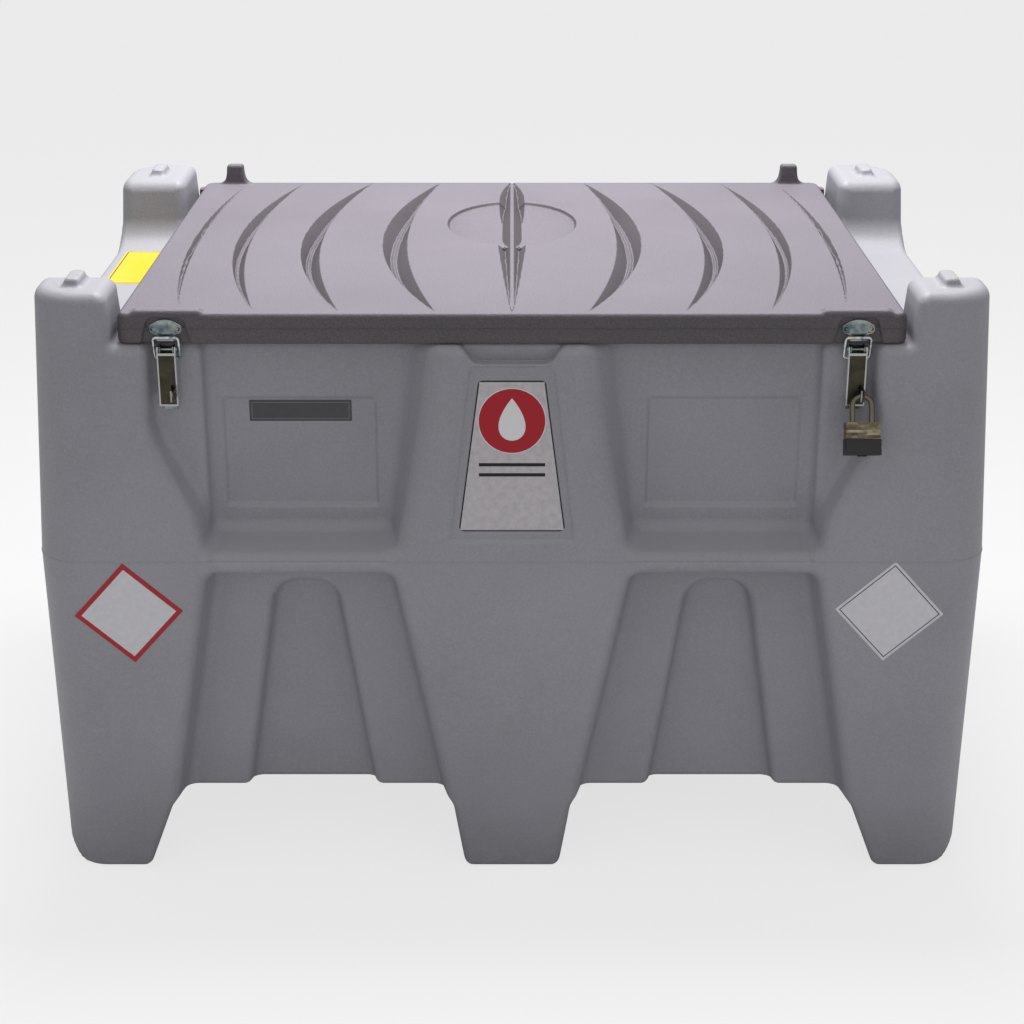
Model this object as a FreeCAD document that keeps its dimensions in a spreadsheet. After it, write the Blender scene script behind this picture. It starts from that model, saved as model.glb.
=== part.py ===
import FreeCAD, Part
import math
import os
import re
import Sketcher

# Diesel transfer tank: a hollow moulded body on six feet with four corner posts, a hinged lid held down by
# two draw latches, one of them padlocked, and under the lid a well with filler, pump and nozzle.
# Frame: the origin is on the floor under the middle, the front faces -Y, +Z is up.

SIZES = {
    # overall moulding
    "length": 1200,
    "width": 800,
    "post_top": 784,
    "parting": 442,
    "wall": 6,
    "corner_round": 58,
    "draft_top": 16,
    "draft_foot": 4,
    # deck, saddles and posts
    "deck": 719,
    "saddle": 688,
    "bay_half": 486,
    "bay_half_top": 490,
    "curb_half": 470,
    "post_depth_front": 95,
    "post_depth_rear": 130,
    "post_lean": 11,
    "post_edge_round": 14,
    "saddle_round": 30,
    "nub_wide": 24,
    "nub_long": 52,
    "nub_high": 11,
    "nub_from_side": 50,
    "nub_from_front": 54,
    "nub_from_rear": 76,
    # feet and fork channels
    "belly": 98,
    "foot_corner_wide": 118,
    "foot_corner_wide_top": 155,
    "foot_middle_half": 65,
    "foot_middle_half_top": 79,
    "foot_deep": 85,
    "foot_deep_top": 100,
    "foot_round": 38,
    # upper front panels
    "panel_deep": 56,
    "panel_left": 388,
    "panel_right_top": 73,
    "panel_right_low": 146,
    "panel_low": 447,
    "panel_ledge": 22,
    "panel_side_slope": 10,
    "panel_pillar_slope": 58,
    "panel_pillar_slope_low": 12,
    "field_left": 361,
    "field_right": 168,
    "field_low": 496,
    "field_high": 642,
    "field_deep": 4,
    # latch pads
    "pad_deep": 38,
    "pad_outer": 450,
    "pad_knee": 612,
    "pad_tip": 470,
    "pad_slope": 10,
    # lower recesses
    "bay_low_high": 425,
    "bay_low_deep": 48,
    "bay_low_outer": 387,
    "bay_low_outer_foot": 443,
    "bay_low_inner": 147,
    "bay_low_inner_foot": 81,
    "bay_low_slope": 12,
    "arch_middle": 265,
    "arch_deep": 24,
    "arch_half": 44,
    "arch_half_foot": 86,
    "arch_shoulder": 376,
    "arch_top": 398,
    # middle pillar
    "notch_half": 51,
    "notch_low": 697,
    "notch_deep": 28,
    "plate_half_top": 51,
    "plate_half_low": 77,
    "plate_high": 694,
    "plate_low": 468,
    "plate_sink": 4,
    # equipment well
    "well_half_long": 430,
    "well_half_wide": 292,
    "well_floor": 535,
    "well_round": 40,
    "floor_round": 18,
    # lid
    "lid_half_front": 480,
    "lid_half_rear": 475,
    "lid_front": "=width / 2 - 22",
    "lid_rear": "=width / 2 - 28",
    "lid_lift": 0.3,
    "lid_edge": 38,
    "lid_round": 14,
    "lug_inner": 413,
    "lug_wide": 28,
    "lug_long": 18,
    "lug_high": 30,
    "raise_half": 37,
    "raise_long": 16,
    "raise_high": 4,
    "scallop_half": 27,
    "scallop_deep": 6,
    "crescent_deep": 6,
    "dish_x": 92,
    "dish_y": 135,
    "dish_at": 100,
    "dish_deep": 9,
    "dish_ball": 30,
    "fin_half": 3.5,
    "fin_groove_rear": 16,
    "fin_groove_front": 20,
    "fin_cross": 30,
    # latches
    "latch_x": 420,
    "sheet_metal": 2,
    "base_half": 11,
    "base_high": 714,
    "base_low": 645,
    "base_tab_half": 8.5,
    "base_tab_low": 633,
    "ear_inner": 7.4,
    "ear_metal": 1.6,
    "lever_pin_y": "=width / 2 - 27",
    "lever_pin_z": 712,
    "lever_pin_round": 2,
    "pivot_play": 0.05,
    "lever_half": 11.5,
    "lever_metal": 1.5,
    "lever_face": "=width / 2 - 19.5",
    "lever_low": 642,
    "lever_web_high": 709,
    "bail_pin_y": "=width / 2 - 31",
    "bail_pin_z": 700,
    "bail_bar_y": "=width / 2 - 22",
    "bail_bar_z": 728,
    "bail_half": 15.5,
    "wire_round": 1.8,
    "keeper_half": 19.5,
    "keeper_high": 750,
    "keeper_lip_y": "=width / 2 - 16.7",
    "lock_eye_y": "=width / 2 - 12",
    "lock_eye_z": 658,
    "lock_eye_round": "=shackle_round + 1.3",
    "lock_ear_out": "=width / 2 - 6.8",
    "lock_ear_half": 7.2,
    "lever_ear_x": 7.4,
    "staple_x": 4.2,
    # padlock
    "shackle_round": 3.2,
    "shackle_half": 11.8,
    "shackle_drop": 0.9,
    "padlock_lean": 22,
    "case_half": 21,
    "case_high": 625,
    "case_low": 592,
    "case_half_thick": 9,
    "bumper_low": 585,
    "case_plates": 8,
    "case_groove": 0.6,
    # rear hinges
    "hinge_y": "=width / 2 - 21",
    "hinge_z": 715,
    "hinge_x": 418,
    "hinge_half": 18,
    "hinge_middle_half": 7,
    "knuckle_round": 5,
    "hinge_pin_round": 2.5,
    "leaf_metal": 2.5,
    "leaf_low": 650,
    "leaf_high": 750,
    "knuckle_play": 0.3,
    # filler and vent
    "filler_x": -290,
    "filler_y": 90,
    "filler_hole": 48,
    "filler_round": 58,
    "filler_high": 34,
    "filler_wall": 5,
    "cap_round": 68,
    "cap_high": 26,
    "cap_ribs": 12,
    "vent_x": -385,
    "vent_y": 210,
    "vent_round": 11,
    "vent_high": 46,
    # pump set
    "pump_x": 250,
    "pump_y": 40,
    "pump_axis_high": 68,
    "pump_round": 52,
    "pump_long": 62,
    "cover_thick": 10,
    "motor_round": 46,
    "motor_long": 118,
    "motor_cap_long": 16,
    "foot_plate_half": 48,
    "foot_plate_long": 150,
    "foot_plate_thick": 4,
    "switch_long": 46,
    "switch_wide": 40,
    "switch_high": 22,
    "pipe_round": 17,
    "pipe_bore": 13,
    "suction_x": 118,
    "tube_round": 15,
    "tube_wall": 2,
    "tube_low": 112,
    "flange_round": 34,
    "flange_thick": 6,
    "tail_round": 12.5,
    "tail_collar": 7,
    "tail_long": 24,
    "tail_taper": 6,
    "tail_bore": 9.5,
    # nozzle and holster
    "nozzle_x": -60,
    "nozzle_y": -190,
    "nozzle_high": 84,
    "nozzle_round": 19,
    "nozzle_long": 120,
    "spout_round": 12,
    "spout_wall": 1.5,
    "spout_long": 130,
    "guard_drop": 64,
    "trigger_at": 40,
}

doc = FreeCAD.newDocument("transfer_tank")
sheet = doc.addObject("Spreadsheet::Sheet", "Sizes")
for row, alias in enumerate(SIZES, start=1):
    sheet.set(f"A{row}", alias)
    sheet.setAlias(f"B{row}", alias)
for row, number in enumerate(SIZES.values(), start=1):
    sheet.set(f"B{row}", str(number))
doc.recompute()

NAMES = re.compile(r"\b(" + "|".join(sorted(SIZES, key=len, reverse=True)) + r")\b")
PARTS = {}


def formula(text):
    """A rule written with the sheet's words, as an expression that refers to its cells."""
    return NAMES.sub(r"Sizes.\1", str(text))


def value(text):
    """The number that such a rule gives now."""
    words = {name: float(sheet.get(name)) for name in NAMES.findall(str(text))}
    return float(sum_of(str(text), words))


def sum_of(text, words):
    """Works out a rule of numbers, words, + - * / and brackets."""
    tokens = re.findall(r"[A-Za-z_]\w*|[\d.]+|[-+*/()]", text)
    place = [0]

    def peek():
        return tokens[place[0]] if place[0] < len(tokens) else None

    def take():
        place[0] += 1
        return tokens[place[0] - 1]

    def factor():
        token = take()
        if token == "-":
            return -factor()
        if token == "(":
            inside = terms()
            take()
            return inside
        return words[token] if token in words else float(token)

    def product():
        result = factor()
        while peek() in ("*", "/"):
            if take() == "*":
                result *= factor()
            else:
                result /= factor()
        return result

    def terms():
        result = product()
        while peek() in ("+", "-"):
            if take() == "+":
                result += product()
            else:
                result -= product()
        return result

    return terms()


def tie(thing, prop, text):
    thing.setExpression(prop, formula(text))


def part(label, thing):
    """Names an object as one of the separate pieces."""
    thing.Label = label
    PARTS[label] = thing
    return thing


def new_body(name):
    return doc.addObject("PartDesign::Body", name)


def sketch_on(body, role, offset="0"):
    """An empty sketch on one of the body's own planes. The XZ plane's normal is -Y, the YZ plane's is +X."""
    sketch = body.newObject("Sketcher::SketchObject", "outline")
    plane = [entry for entry in body.Origin.OriginFeatures if entry.Role == role][0]
    sketch.AttachmentSupport = [(plane, "")]
    sketch.MapMode = "FlatFace"
    tie(sketch, "AttachmentOffset.Base.z", offset)
    return sketch


def outline(body, role, corners, offset="0"):
    """A closed outline. Each corner is (across, up) in the sheet's words; a third entry is the radius of the
    arc that leaves the corner, bulging to the right of its direction, instead of a straight edge."""
    sketch = sketch_on(body, role, offset)
    points = [(value(corner[0]), value(corner[1])) for corner in corners]
    count = len(corners)
    for index, corner in enumerate(corners):
        start = FreeCAD.Vector(points[index][0], points[index][1], 0)
        end = FreeCAD.Vector(*points[(index + 1) % count], 0)
        if len(corner) == 2:
            sketch.addGeometry(Part.LineSegment(start, end), False)
            continue
        radius = value(corner[2])
        chord = end - start
        rise = radius - math.sqrt(radius ** 2 - (chord.Length / 2) ** 2)
        side = FreeCAD.Vector(chord.y, -chord.x, 0).normalize()
        sketch.addGeometry(Part.Arc(start, (start + end) * 0.5 + side * rise, end), False)
    starts = []
    ends = []
    for index, geometry in enumerate(sketch.Geometry):
        begin = FreeCAD.Vector(points[index][0], points[index][1], 0)
        forward = (geometry.StartPoint - begin).Length < 1e-6
        starts.append(1 if forward else 2)
        ends.append(2 if forward else 1)
    for index in range(count):
        after = (index + 1) % count
        sketch.addConstraint(Sketcher.Constraint("Coincident", index, ends[index], after, starts[after]))
    for index, corner in enumerate(corners):
        for kind, rule, number in zip(("DistanceX", "DistanceY"), corner, points[index]):
            made = sketch.addConstraint(Sketcher.Constraint(kind, -1, 1, index, starts[index], number))
            tie(sketch, f"Constraints[{made}]", rule)
        if len(corner) == 3:
            made = sketch.addConstraint(Sketcher.Constraint("Radius", index, value(corner[2])))
            tie(sketch, f"Constraints[{made}]", corner[2])
    return sketch


def pad(body, sketch, long, taper=None, back=False, both=False):
    feature = body.newObject("PartDesign::Pad", "pad")
    feature.Profile = (sketch, [""])
    feature.Reversed = back
    feature.Midplane = both
    tie(feature, "Length", long)
    if taper:
        tie(feature, "TaperAngle", taper)
    return feature


def pocket(body, sketch, long, back=False, both=False, taper=None):
    feature = body.newObject("PartDesign::Pocket", "pocket")
    feature.Profile = (sketch, [""])
    feature.Reversed = back
    feature.Midplane = both
    tie(feature, "Length", long)
    if taper:
        tie(feature, "TaperAngle", taper)
    return feature


def loft_cut(body, near, far):
    feature = body.newObject("PartDesign::SubtractiveLoft", "recess")
    feature.Profile = (near, [""])
    feature.Sections = [(far, [""])]
    feature.Ruled = True
    return feature


def fillet(body, radius, wanted):
    """Rounds the edges of the body's last feature whose box passes the test."""
    doc.recompute()
    base = body.Tip
    numbered = enumerate(base.Shape.Edges, start=1)
    names = [f"Edge{number}" for number, edge in numbered if wanted(edge.BoundBox)]
    if not names:
        raise ValueError("no edge to round in " + body.Label)
    feature = body.newObject("PartDesign::Fillet", "rounding")
    feature.Base = (base, names)
    tie(feature, "Radius", radius)
    return feature


def near(first, second, within=0.5):
    return abs(first - second) < within


def upright(box):
    return box.ZLength > 5 * (box.XLength + box.YLength) + 5


# The moulding is made twice from the same rules: the outer form, and the cavity one wall further in.


def mirror_signs():
    return [(side, face) for side in (-1, 1) for face in (-1, 1)]


def face_sketch(body, corners, side, face, depth):
    """An outline on a plane that stands back by depth from the widest front or rear face."""
    placed = [(f"{side} * ({corner[0]})",) + tuple(corner[1:]) for corner in corners]
    if side < 0 and any(len(corner) == 3 for corner in corners):
        placed = mirrored_arcs(corners)
    return outline(body, "XZ_Plane", placed, f"{-face} * (width / 2 - ({depth}))")


def mirrored_arcs(corners):
    """The same outline run the other way round, so that its arcs keep their side when x changes sign."""
    count = len(corners)
    turned = []
    for index in range(count):
        corner = corners[count - 1 - index]
        before = corners[(count - 2 - index) % count]
        entry = (f"-1 * ({corner[0]})", corner[1])
        turned.append(entry + tuple(before[2:]))
    return turned


def moulded_form(name, skin):
    body = new_body(name)
    corners = [(f"{sx} * (length / 2 - {skin})", f"{sy} * (width / 2 - {skin})")
               for sx, sy in ((-1, -1), (1, -1), (1, 1), (-1, 1))]
    rise = f"post_top - parting - {skin}"
    drop = f"parting - {skin}"
    pad(body, outline(body, "XY_Plane", corners, "parting"), rise,
        "-atan(draft_top / (post_top - parting))")
    pad(body, outline(body, "XY_Plane", corners, "parting"), drop, "-atan(draft_foot / parting)", back=True)
    fillet(body, f"corner_round - {skin}", upright)
    cut_feet(body, skin)
    cut_deck(body, skin)
    for side, face in mirror_signs():
        cut_face(body, skin, side, face)
    cut_notch(body, skin)
    cut_well(body, skin)
    return body


def cut_feet(body, skin):
    """Two fork channels from front to back and one from end to end leave six feet."""
    for side in (-1, 1):
        corners = [
            (f"{side} * (foot_middle_half - {skin})", "-1"),
            (f"{side} * (foot_middle_half_top - {skin})", f"belly + {skin}"),
            (f"{side} * (length / 2 - foot_corner_wide_top + {skin})", f"belly + {skin}"),
            (f"{side} * (length / 2 - foot_corner_wide + {skin})", "-1"),
        ]
        pocket(body, outline(body, "XZ_Plane", corners), "2 * width", both=True)
    corners = []
    for side in (-1, 1):
        low = (f"{side} * (width / 2 - foot_deep + {skin})", "-1")
        high = (f"{side} * (width / 2 - foot_deep_top + {skin})", f"belly + {skin}")
        corners += [low, high] if side < 0 else [high, low]
    pocket(body, outline(body, "YZ_Plane", corners), "2 * length", both=True)


def cut_deck(body, skin):
    """The bay between the posts for the lid, and the two lower saddles outside its curb."""
    corners = [
        (f"-bay_half - {skin}", f"deck - {skin}"),
        (f"bay_half + {skin}", f"deck - {skin}"),
        (f"bay_half_top + {skin}", "post_top + 1"),
        (f"-bay_half_top - {skin}", "post_top + 1"),
    ]
    pocket(body, outline(body, "XZ_Plane", corners), "2 * width", both=True)
    front = f"-width / 2 + draft_top + post_depth_front - {skin}"
    rear = f"width / 2 - draft_top - post_depth_rear + {skin}"
    corners = [
        (f"{front} + post_lean", f"saddle - {skin}"),
        (f"{rear} - post_lean", f"saddle - {skin}"),
        (rear, "post_top + 1"),
        (front, "post_top + 1"),
    ]
    for side in (-1, 1):
        sketch = outline(body, "YZ_Plane", corners, f"{side} * (curb_half - {skin})")
        pocket(body, sketch, "length", back=side > 0)


def cut_face(body, skin, side, face):
    """The upper panel, the latch or hinge pad and the lower recess of one quarter of a long wall."""
    proud = "-1"
    top = "deck + 14"
    opening = [
        (f"panel_left + {skin}", top),
        (f"panel_left + {skin}", f"panel_low - {skin}"),
        (f"panel_right_low - {skin}", f"panel_low - {skin}"),
        (f"panel_right_top - {skin}", top),
    ]
    floor = [
        (f"panel_left - panel_side_slope + {skin}", top),
        (f"panel_left - panel_side_slope + {skin}", f"panel_low + panel_ledge - {skin}"),
        (f"panel_right_low + panel_pillar_slope_low - {skin}", f"panel_low + panel_ledge - {skin}"),
        (f"panel_right_top + panel_pillar_slope - {skin}", top),
    ]
    loft_cut(body, face_sketch(body, opening, side, face, proud),
             face_sketch(body, floor, side, face, f"panel_deep + {skin}"))
    field = [
        (f"field_left + {skin}", f"field_high + {skin}"),
        (f"field_left + {skin}", f"field_low - {skin}"),
        (f"field_right - {skin}", f"field_low - {skin}"),
        (f"field_right - {skin}", f"field_high + {skin}"),
    ]
    pocket(body, face_sketch(body, field, side, face, f"panel_deep - 1 + {skin}"), "field_deep + 1",
           back=face > 0)
    opening = [
        (f"pad_outer + {skin}", top),
        (f"pad_outer + {skin}", f"pad_knee - {skin}"),
        (f"panel_left - 2 - {skin}", f"pad_tip - {skin}"),
        (f"panel_left - 2 - {skin}", top),
    ]
    floor = [
        (f"pad_outer - pad_slope + {skin}", top),
        (f"pad_outer - pad_slope + {skin}", f"pad_knee + 2 * pad_slope - {skin}"),
        (f"panel_left + 8 - {skin}", f"pad_tip + 5 * pad_slope - {skin}"),
        (f"panel_left - 2 - {skin}", top),
    ]
    loft_cut(body, face_sketch(body, opening, side, face, proud),
             face_sketch(body, floor, side, face, f"pad_deep + {skin}"))
    opening = [
        (f"bay_low_outer + {skin}", f"bay_low_high + {skin}"),
        (f"bay_low_outer_foot + {skin}", "belly - 1"),
        (f"bay_low_inner_foot - {skin}", "belly - 1"),
        (f"bay_low_inner - {skin}", f"bay_low_high + {skin}"),
    ]
    floor = [
        (f"bay_low_outer - bay_low_slope + {skin}", f"bay_low_high - bay_low_slope / 2 + {skin}"),
        (f"bay_low_outer_foot - bay_low_slope + {skin}", "belly - 1"),
        (f"bay_low_inner_foot + bay_low_slope - {skin}", "belly - 1"),
        (f"bay_low_inner + bay_low_slope - {skin}", f"bay_low_high - bay_low_slope / 2 + {skin}"),
    ]
    loft_cut(body, face_sketch(body, opening, side, face, proud),
             face_sketch(body, floor, side, face, f"bay_low_deep + {skin}"))
    arch = [
        (f"arch_middle + arch_half + {skin}", f"arch_shoulder + {skin}"),
        (f"arch_middle + arch_half_foot + {skin}", "belly - 1"),
        (f"arch_middle - arch_half_foot - {skin}", "belly - 1"),
        (f"arch_middle - arch_half - {skin}", f"arch_shoulder + {skin}"),
        (f"arch_middle - arch_half * 0.6 - {skin} / 2", f"arch_top + {skin}"),
        (f"arch_middle + arch_half * 0.6 + {skin} / 2", f"arch_top + {skin}"),
    ]
    pocket(body, face_sketch(body, arch, side, face, f"bay_low_deep - 1 + {skin}"), "arch_deep + 1",
           back=face > 0)


def cut_notch(body, skin):
    """The notch between the two ears at the top of each middle pillar."""
    corners = [
        (f"-notch_half - {skin}", f"notch_low - {skin}"),
        (f"notch_half + {skin}", f"notch_low - {skin}"),
        (f"notch_half + {skin}", "deck + 1"),
        (f"-notch_half - {skin}", "deck + 1"),
    ]
    for face in (-1, 1):
        sketch = outline(body, "XZ_Plane", corners, f"{-face} * (width / 2 + 1)")
        pocket(body, sketch, f"notch_deep + {skin} + 1", back=face > 0)


def cut_well(body, skin):
    """The equipment well under the lid."""
    corners = [(f"{sx} * (well_half_long + {skin})", f"{sy} * (well_half_wide + {skin})")
               for sx, sy in ((-1, -1), (1, -1), (1, 1), (-1, 1))]
    pocket(body, outline(body, "XY_Plane", corners, "deck + 1"), f"deck + 1 - well_floor + {skin}")


def round_outside(body):
    """The soft edges that a rotational moulding has where hands and straps touch it."""
    high = value("post_top")
    fillet(body, "post_edge_round", lambda box: near(box.ZMin, high, 0.01) and near(box.ZMax, high, 0.01))
    low = value("saddle")
    half = value("curb_half")
    span = value("width / 2 - 150")
    fillet(body, "saddle_round",
           lambda box: near(box.ZMin, low, 0.01) and near(box.ZMax, low, 0.01) and box.XLength > 80
           and abs(box.Center.x) > half and abs(box.Center.y) < span and box.YLength < 1)
    floor = value("well_floor")
    wide = value("well_half_wide")
    fillet(body, "well_round",
           lambda box: upright(box) and near(box.ZMin, floor) and abs(box.Center.y) < wide + 1)
    fillet(body, "floor_round", lambda box: near(box.ZMin, floor, 0.01) and near(box.ZMax, floor, 0.01))


def add_nubs(body):
    """A small tapered pad on the top of each post."""
    for side in (-1, 1):
        for rule in ("-width / 2 + nub_from_front + draft_top", "width / 2 - nub_from_rear - draft_top"):
            corners = [(f"{side} * (length / 2 - draft_top - nub_from_side) + {sx} * nub_wide / 2",
                        f"{rule} + {sy} * nub_long / 2") for sx, sy in ((-1, -1), (1, -1), (1, 1), (-1, 1))]
            pad(body, outline(body, "XY_Plane", corners, "post_top - 1"), "nub_high + 1", "-18")


def add_plate_recess(body):
    """The shallow field for the front plate. Its sketch leans back with the wall."""
    corners = [
        ("-plate_half_top", "plate_high - parting"),
        ("-plate_half_low", "plate_low - parting"),
        ("plate_half_low", "plate_low - parting"),
        ("plate_half_top", "plate_high - parting"),
    ]
    sketch = outline(body, "XZ_Plane", corners, "width / 2")
    tie(sketch, "AttachmentOffset.Base.y", "parting")
    lean = math.degrees(math.atan(value("draft_top / (post_top - parting)")))
    sketch.AttachmentOffset = FreeCAD.Placement(sketch.AttachmentOffset.Base,
                                                FreeCAD.Rotation(FreeCAD.Vector(1, 0, 0), -lean))
    pocket(body, sketch, "plate_sink")


def cylinder(name, radius, long, at, lean=None):
    """A round bar from a point: along +Z, or along the axis named in lean."""
    bar = doc.addObject("Part::Cylinder", name)
    tie(bar, "Radius", radius)
    tie(bar, "Height", long)
    turn_and_place(bar, at, lean)
    return bar


def turn_and_place(thing, at, lean=None):
    turns = {
        None: FreeCAD.Rotation(),
        "x": FreeCAD.Rotation(FreeCAD.Vector(0, 1, 0), 90),
        "y": FreeCAD.Rotation(FreeCAD.Vector(1, 0, 0), -90),
        "-y": FreeCAD.Rotation(FreeCAD.Vector(1, 0, 0), 90),
        "-z": FreeCAD.Rotation(FreeCAD.Vector(1, 0, 0), 180),
    }
    thing.Placement = FreeCAD.Placement(FreeCAD.Vector(), turns[lean])
    for axis, rule in zip("xyz", at):
        tie(thing, f"Placement.Base.{axis}", rule)


def block(name, low, size):
    """A box from its lowest corner."""
    made = doc.addObject("Part::Box", name)
    for prop, rule in zip(("Length", "Width", "Height"), size):
        tie(made, prop, rule)
    turn_and_place(made, low)
    return made


def joined(name, things):
    made = doc.addObject("Part::MultiFuse", name)
    made.Shapes = things
    return made


def less(name, base, tool):
    made = doc.addObject("Part::Cut", name)
    made.Base = base
    made.Tool = tool
    return made


def make_tank():
    outer = moulded_form("tank_outside", "0")
    round_outside(outer)
    add_nubs(outer)
    add_plate_recess(outer)
    cavity = moulded_form("tank_inside", "wall")
    shell = less("tank_walls", outer, cavity)
    holes = joined("tank_holes", [
        cylinder("filler_opening", "filler_hole", "4 * wall",
                 ("filler_x", "filler_y", "well_floor - 3 * wall")),
        cylinder("suction_opening", "tube_round + 2", "4 * wall",
                 ("suction_x", "pump_y", "well_floor - 3 * wall")),
        cylinder("vent_opening", "vent_round - 3", "4 * wall", ("vent_x", "vent_y", "well_floor - 3 * wall")),
    ])
    return part("tank", less("tank", shell, holes))


def make_lid():
    body = new_body("lid_form")
    corners = [
        ("-lid_half_front", "-lid_front"),
        ("lid_half_front", "-lid_front"),
        ("lid_half_rear", "lid_rear"),
        ("-lid_half_rear", "lid_rear"),
    ]
    pad(body, outline(body, "XY_Plane", corners, "deck + lid_lift"), "lid_edge")
    fillet(body, "lid_round", upright)
    top = value("deck + lid_lift + lid_edge")
    fillet(body, "lid_round / 3", lambda box: near(box.ZMin, top, 0.01) and near(box.ZMax, top, 0.01))
    cut_crescents(body)
    cut_fin_grooves(body)
    for side in (-1, 1):
        lug = [(f"{side} * lug_inner", "lid_rear - lug_long"),
               (f"{side} * (lug_inner + lug_wide)", "lid_rear - lug_long"),
               (f"{side} * (lug_inner + lug_wide)", "lid_rear"), (f"{side} * lug_inner", "lid_rear")]
        pad(body, outline(body, "XY_Plane", lug, "deck + lid_lift + lid_edge - 1"), "lug_high + 1", "-5")
        middle = f"{side} * latch_x"
        raised = [(f"{middle} - raise_half", "-lid_front + lid_round / 3"),
                  (f"{middle} + raise_half", "-lid_front + lid_round / 3"),
                  (f"{middle} + raise_half", "-lid_front + lid_round / 3 + raise_long"),
                  (f"{middle} - raise_half", "-lid_front + lid_round / 3 + raise_long")]
        sketch = outline(body, "XY_Plane", raised, "deck + lid_lift + lid_edge - 1")
        pad(body, sketch, "raise_high + 1", "-25")
        scallop = [(f"{middle} - scallop_half", "deck"), (f"{middle} + scallop_half", "deck"),
                   (f"{middle} + scallop_half - 6", "keeper_high + 4"),
                   (f"{middle} - scallop_half + 6", "keeper_high + 4")]
        pocket(body, outline(body, "XZ_Plane", scallop, "lid_front + 1"), "scallop_deep + 1")
    return part("lid", less("lid", body, dish_tool()))


CRESCENTS = [
    # tip rear x, tip front x, outer belly x, inner belly x, half length
    (109, 92, 178, 144, 368),
    (214, 210, 288, 261, 366),
    (321, 315, 378, 359, 360),
    (411, 409, 439, 430, 338),
]


def cut_crescents(body):
    """Four crescent grooves each side, each between two arcs that share their tips."""
    for rear, front, outer, inner, reach in CRESCENTS:
        for side in (-1, 1):
            sketch = crescent_outline(body, side, rear, front, outer, inner, reach)
            pocket(body, sketch, "crescent_deep + 1")


def crescent_outline(body, side, rear, front, outer, inner, reach):
    """A sketch above the lid: two arcs through the same two tips, one through each belly."""
    sketch = sketch_on(body, "XY_Plane", "deck + lid_lift + lid_edge + 1")
    tip_rear = FreeCAD.Vector(side * rear, reach, 0)
    tip_front = FreeCAD.Vector(side * front, -reach, 0)
    for belly in (outer, inner):
        sketch.addGeometry(Part.Arc(tip_rear, FreeCAD.Vector(side * belly, 0, 0), tip_front), False)
    return sketch


def cut_fin_grooves(body):
    """Two leaf-shaped grooves on each side of the long middle fin, which stays standing between them."""
    for side in (-1, 1):
        for start, end, belly in (("lid_rear - 12", "fin_cross", "fin_groove_rear"),
                                  ("fin_cross", "-lid_front + 14", "fin_groove_front")):
            groove = sketch_on(body, "XY_Plane", "deck + lid_lift + lid_edge + 1")
            first = FreeCAD.Vector(side * value("fin_half"), value(start), 0)
            last = FreeCAD.Vector(side * value("fin_half"), value(end), 0)
            middle = FreeCAD.Vector(side * value(belly), (first.y + last.y) / 2, 0)
            groove.addGeometry(Part.Arc(first, middle, last), False)
            groove.addGeometry(Part.LineSegment(last, first), False)
            pocket(body, groove, "dish_deep + 4")


def dish_tool():
    """A flat ellipsoid that leaves a shallow oval bowl, with the fin kept out of it."""
    bowl = doc.addObject("Part::Ellipsoid", "dish_bowl")
    tie(bowl, "Radius1", "dish_ball")
    shrink = "sqrt(1 - pow(1 - dish_deep / dish_ball; 2))"
    tie(bowl, "Radius2", f"dish_x / {shrink}")
    tie(bowl, "Radius3", f"dish_y / {shrink}")
    turn_and_place(bowl, ("0", "dish_at", "deck + lid_lift + lid_edge + dish_ball - dish_deep"))
    fin = block("dish_fin", ("-fin_half", "dish_at - 2 * dish_y", "deck + lid_lift"),
                ("2 * fin_half", "4 * dish_y", "2 * dish_ball"))
    return less("dish_cut", bowl, fin)


def prism(name, corners, thick, middle, role="YZ_Plane"):
    """A flat outline thickened evenly about a plane: across X for a YZ outline."""
    body = new_body(name)
    pad(body, outline(body, role, corners, middle), thick, both=True)
    return body


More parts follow.
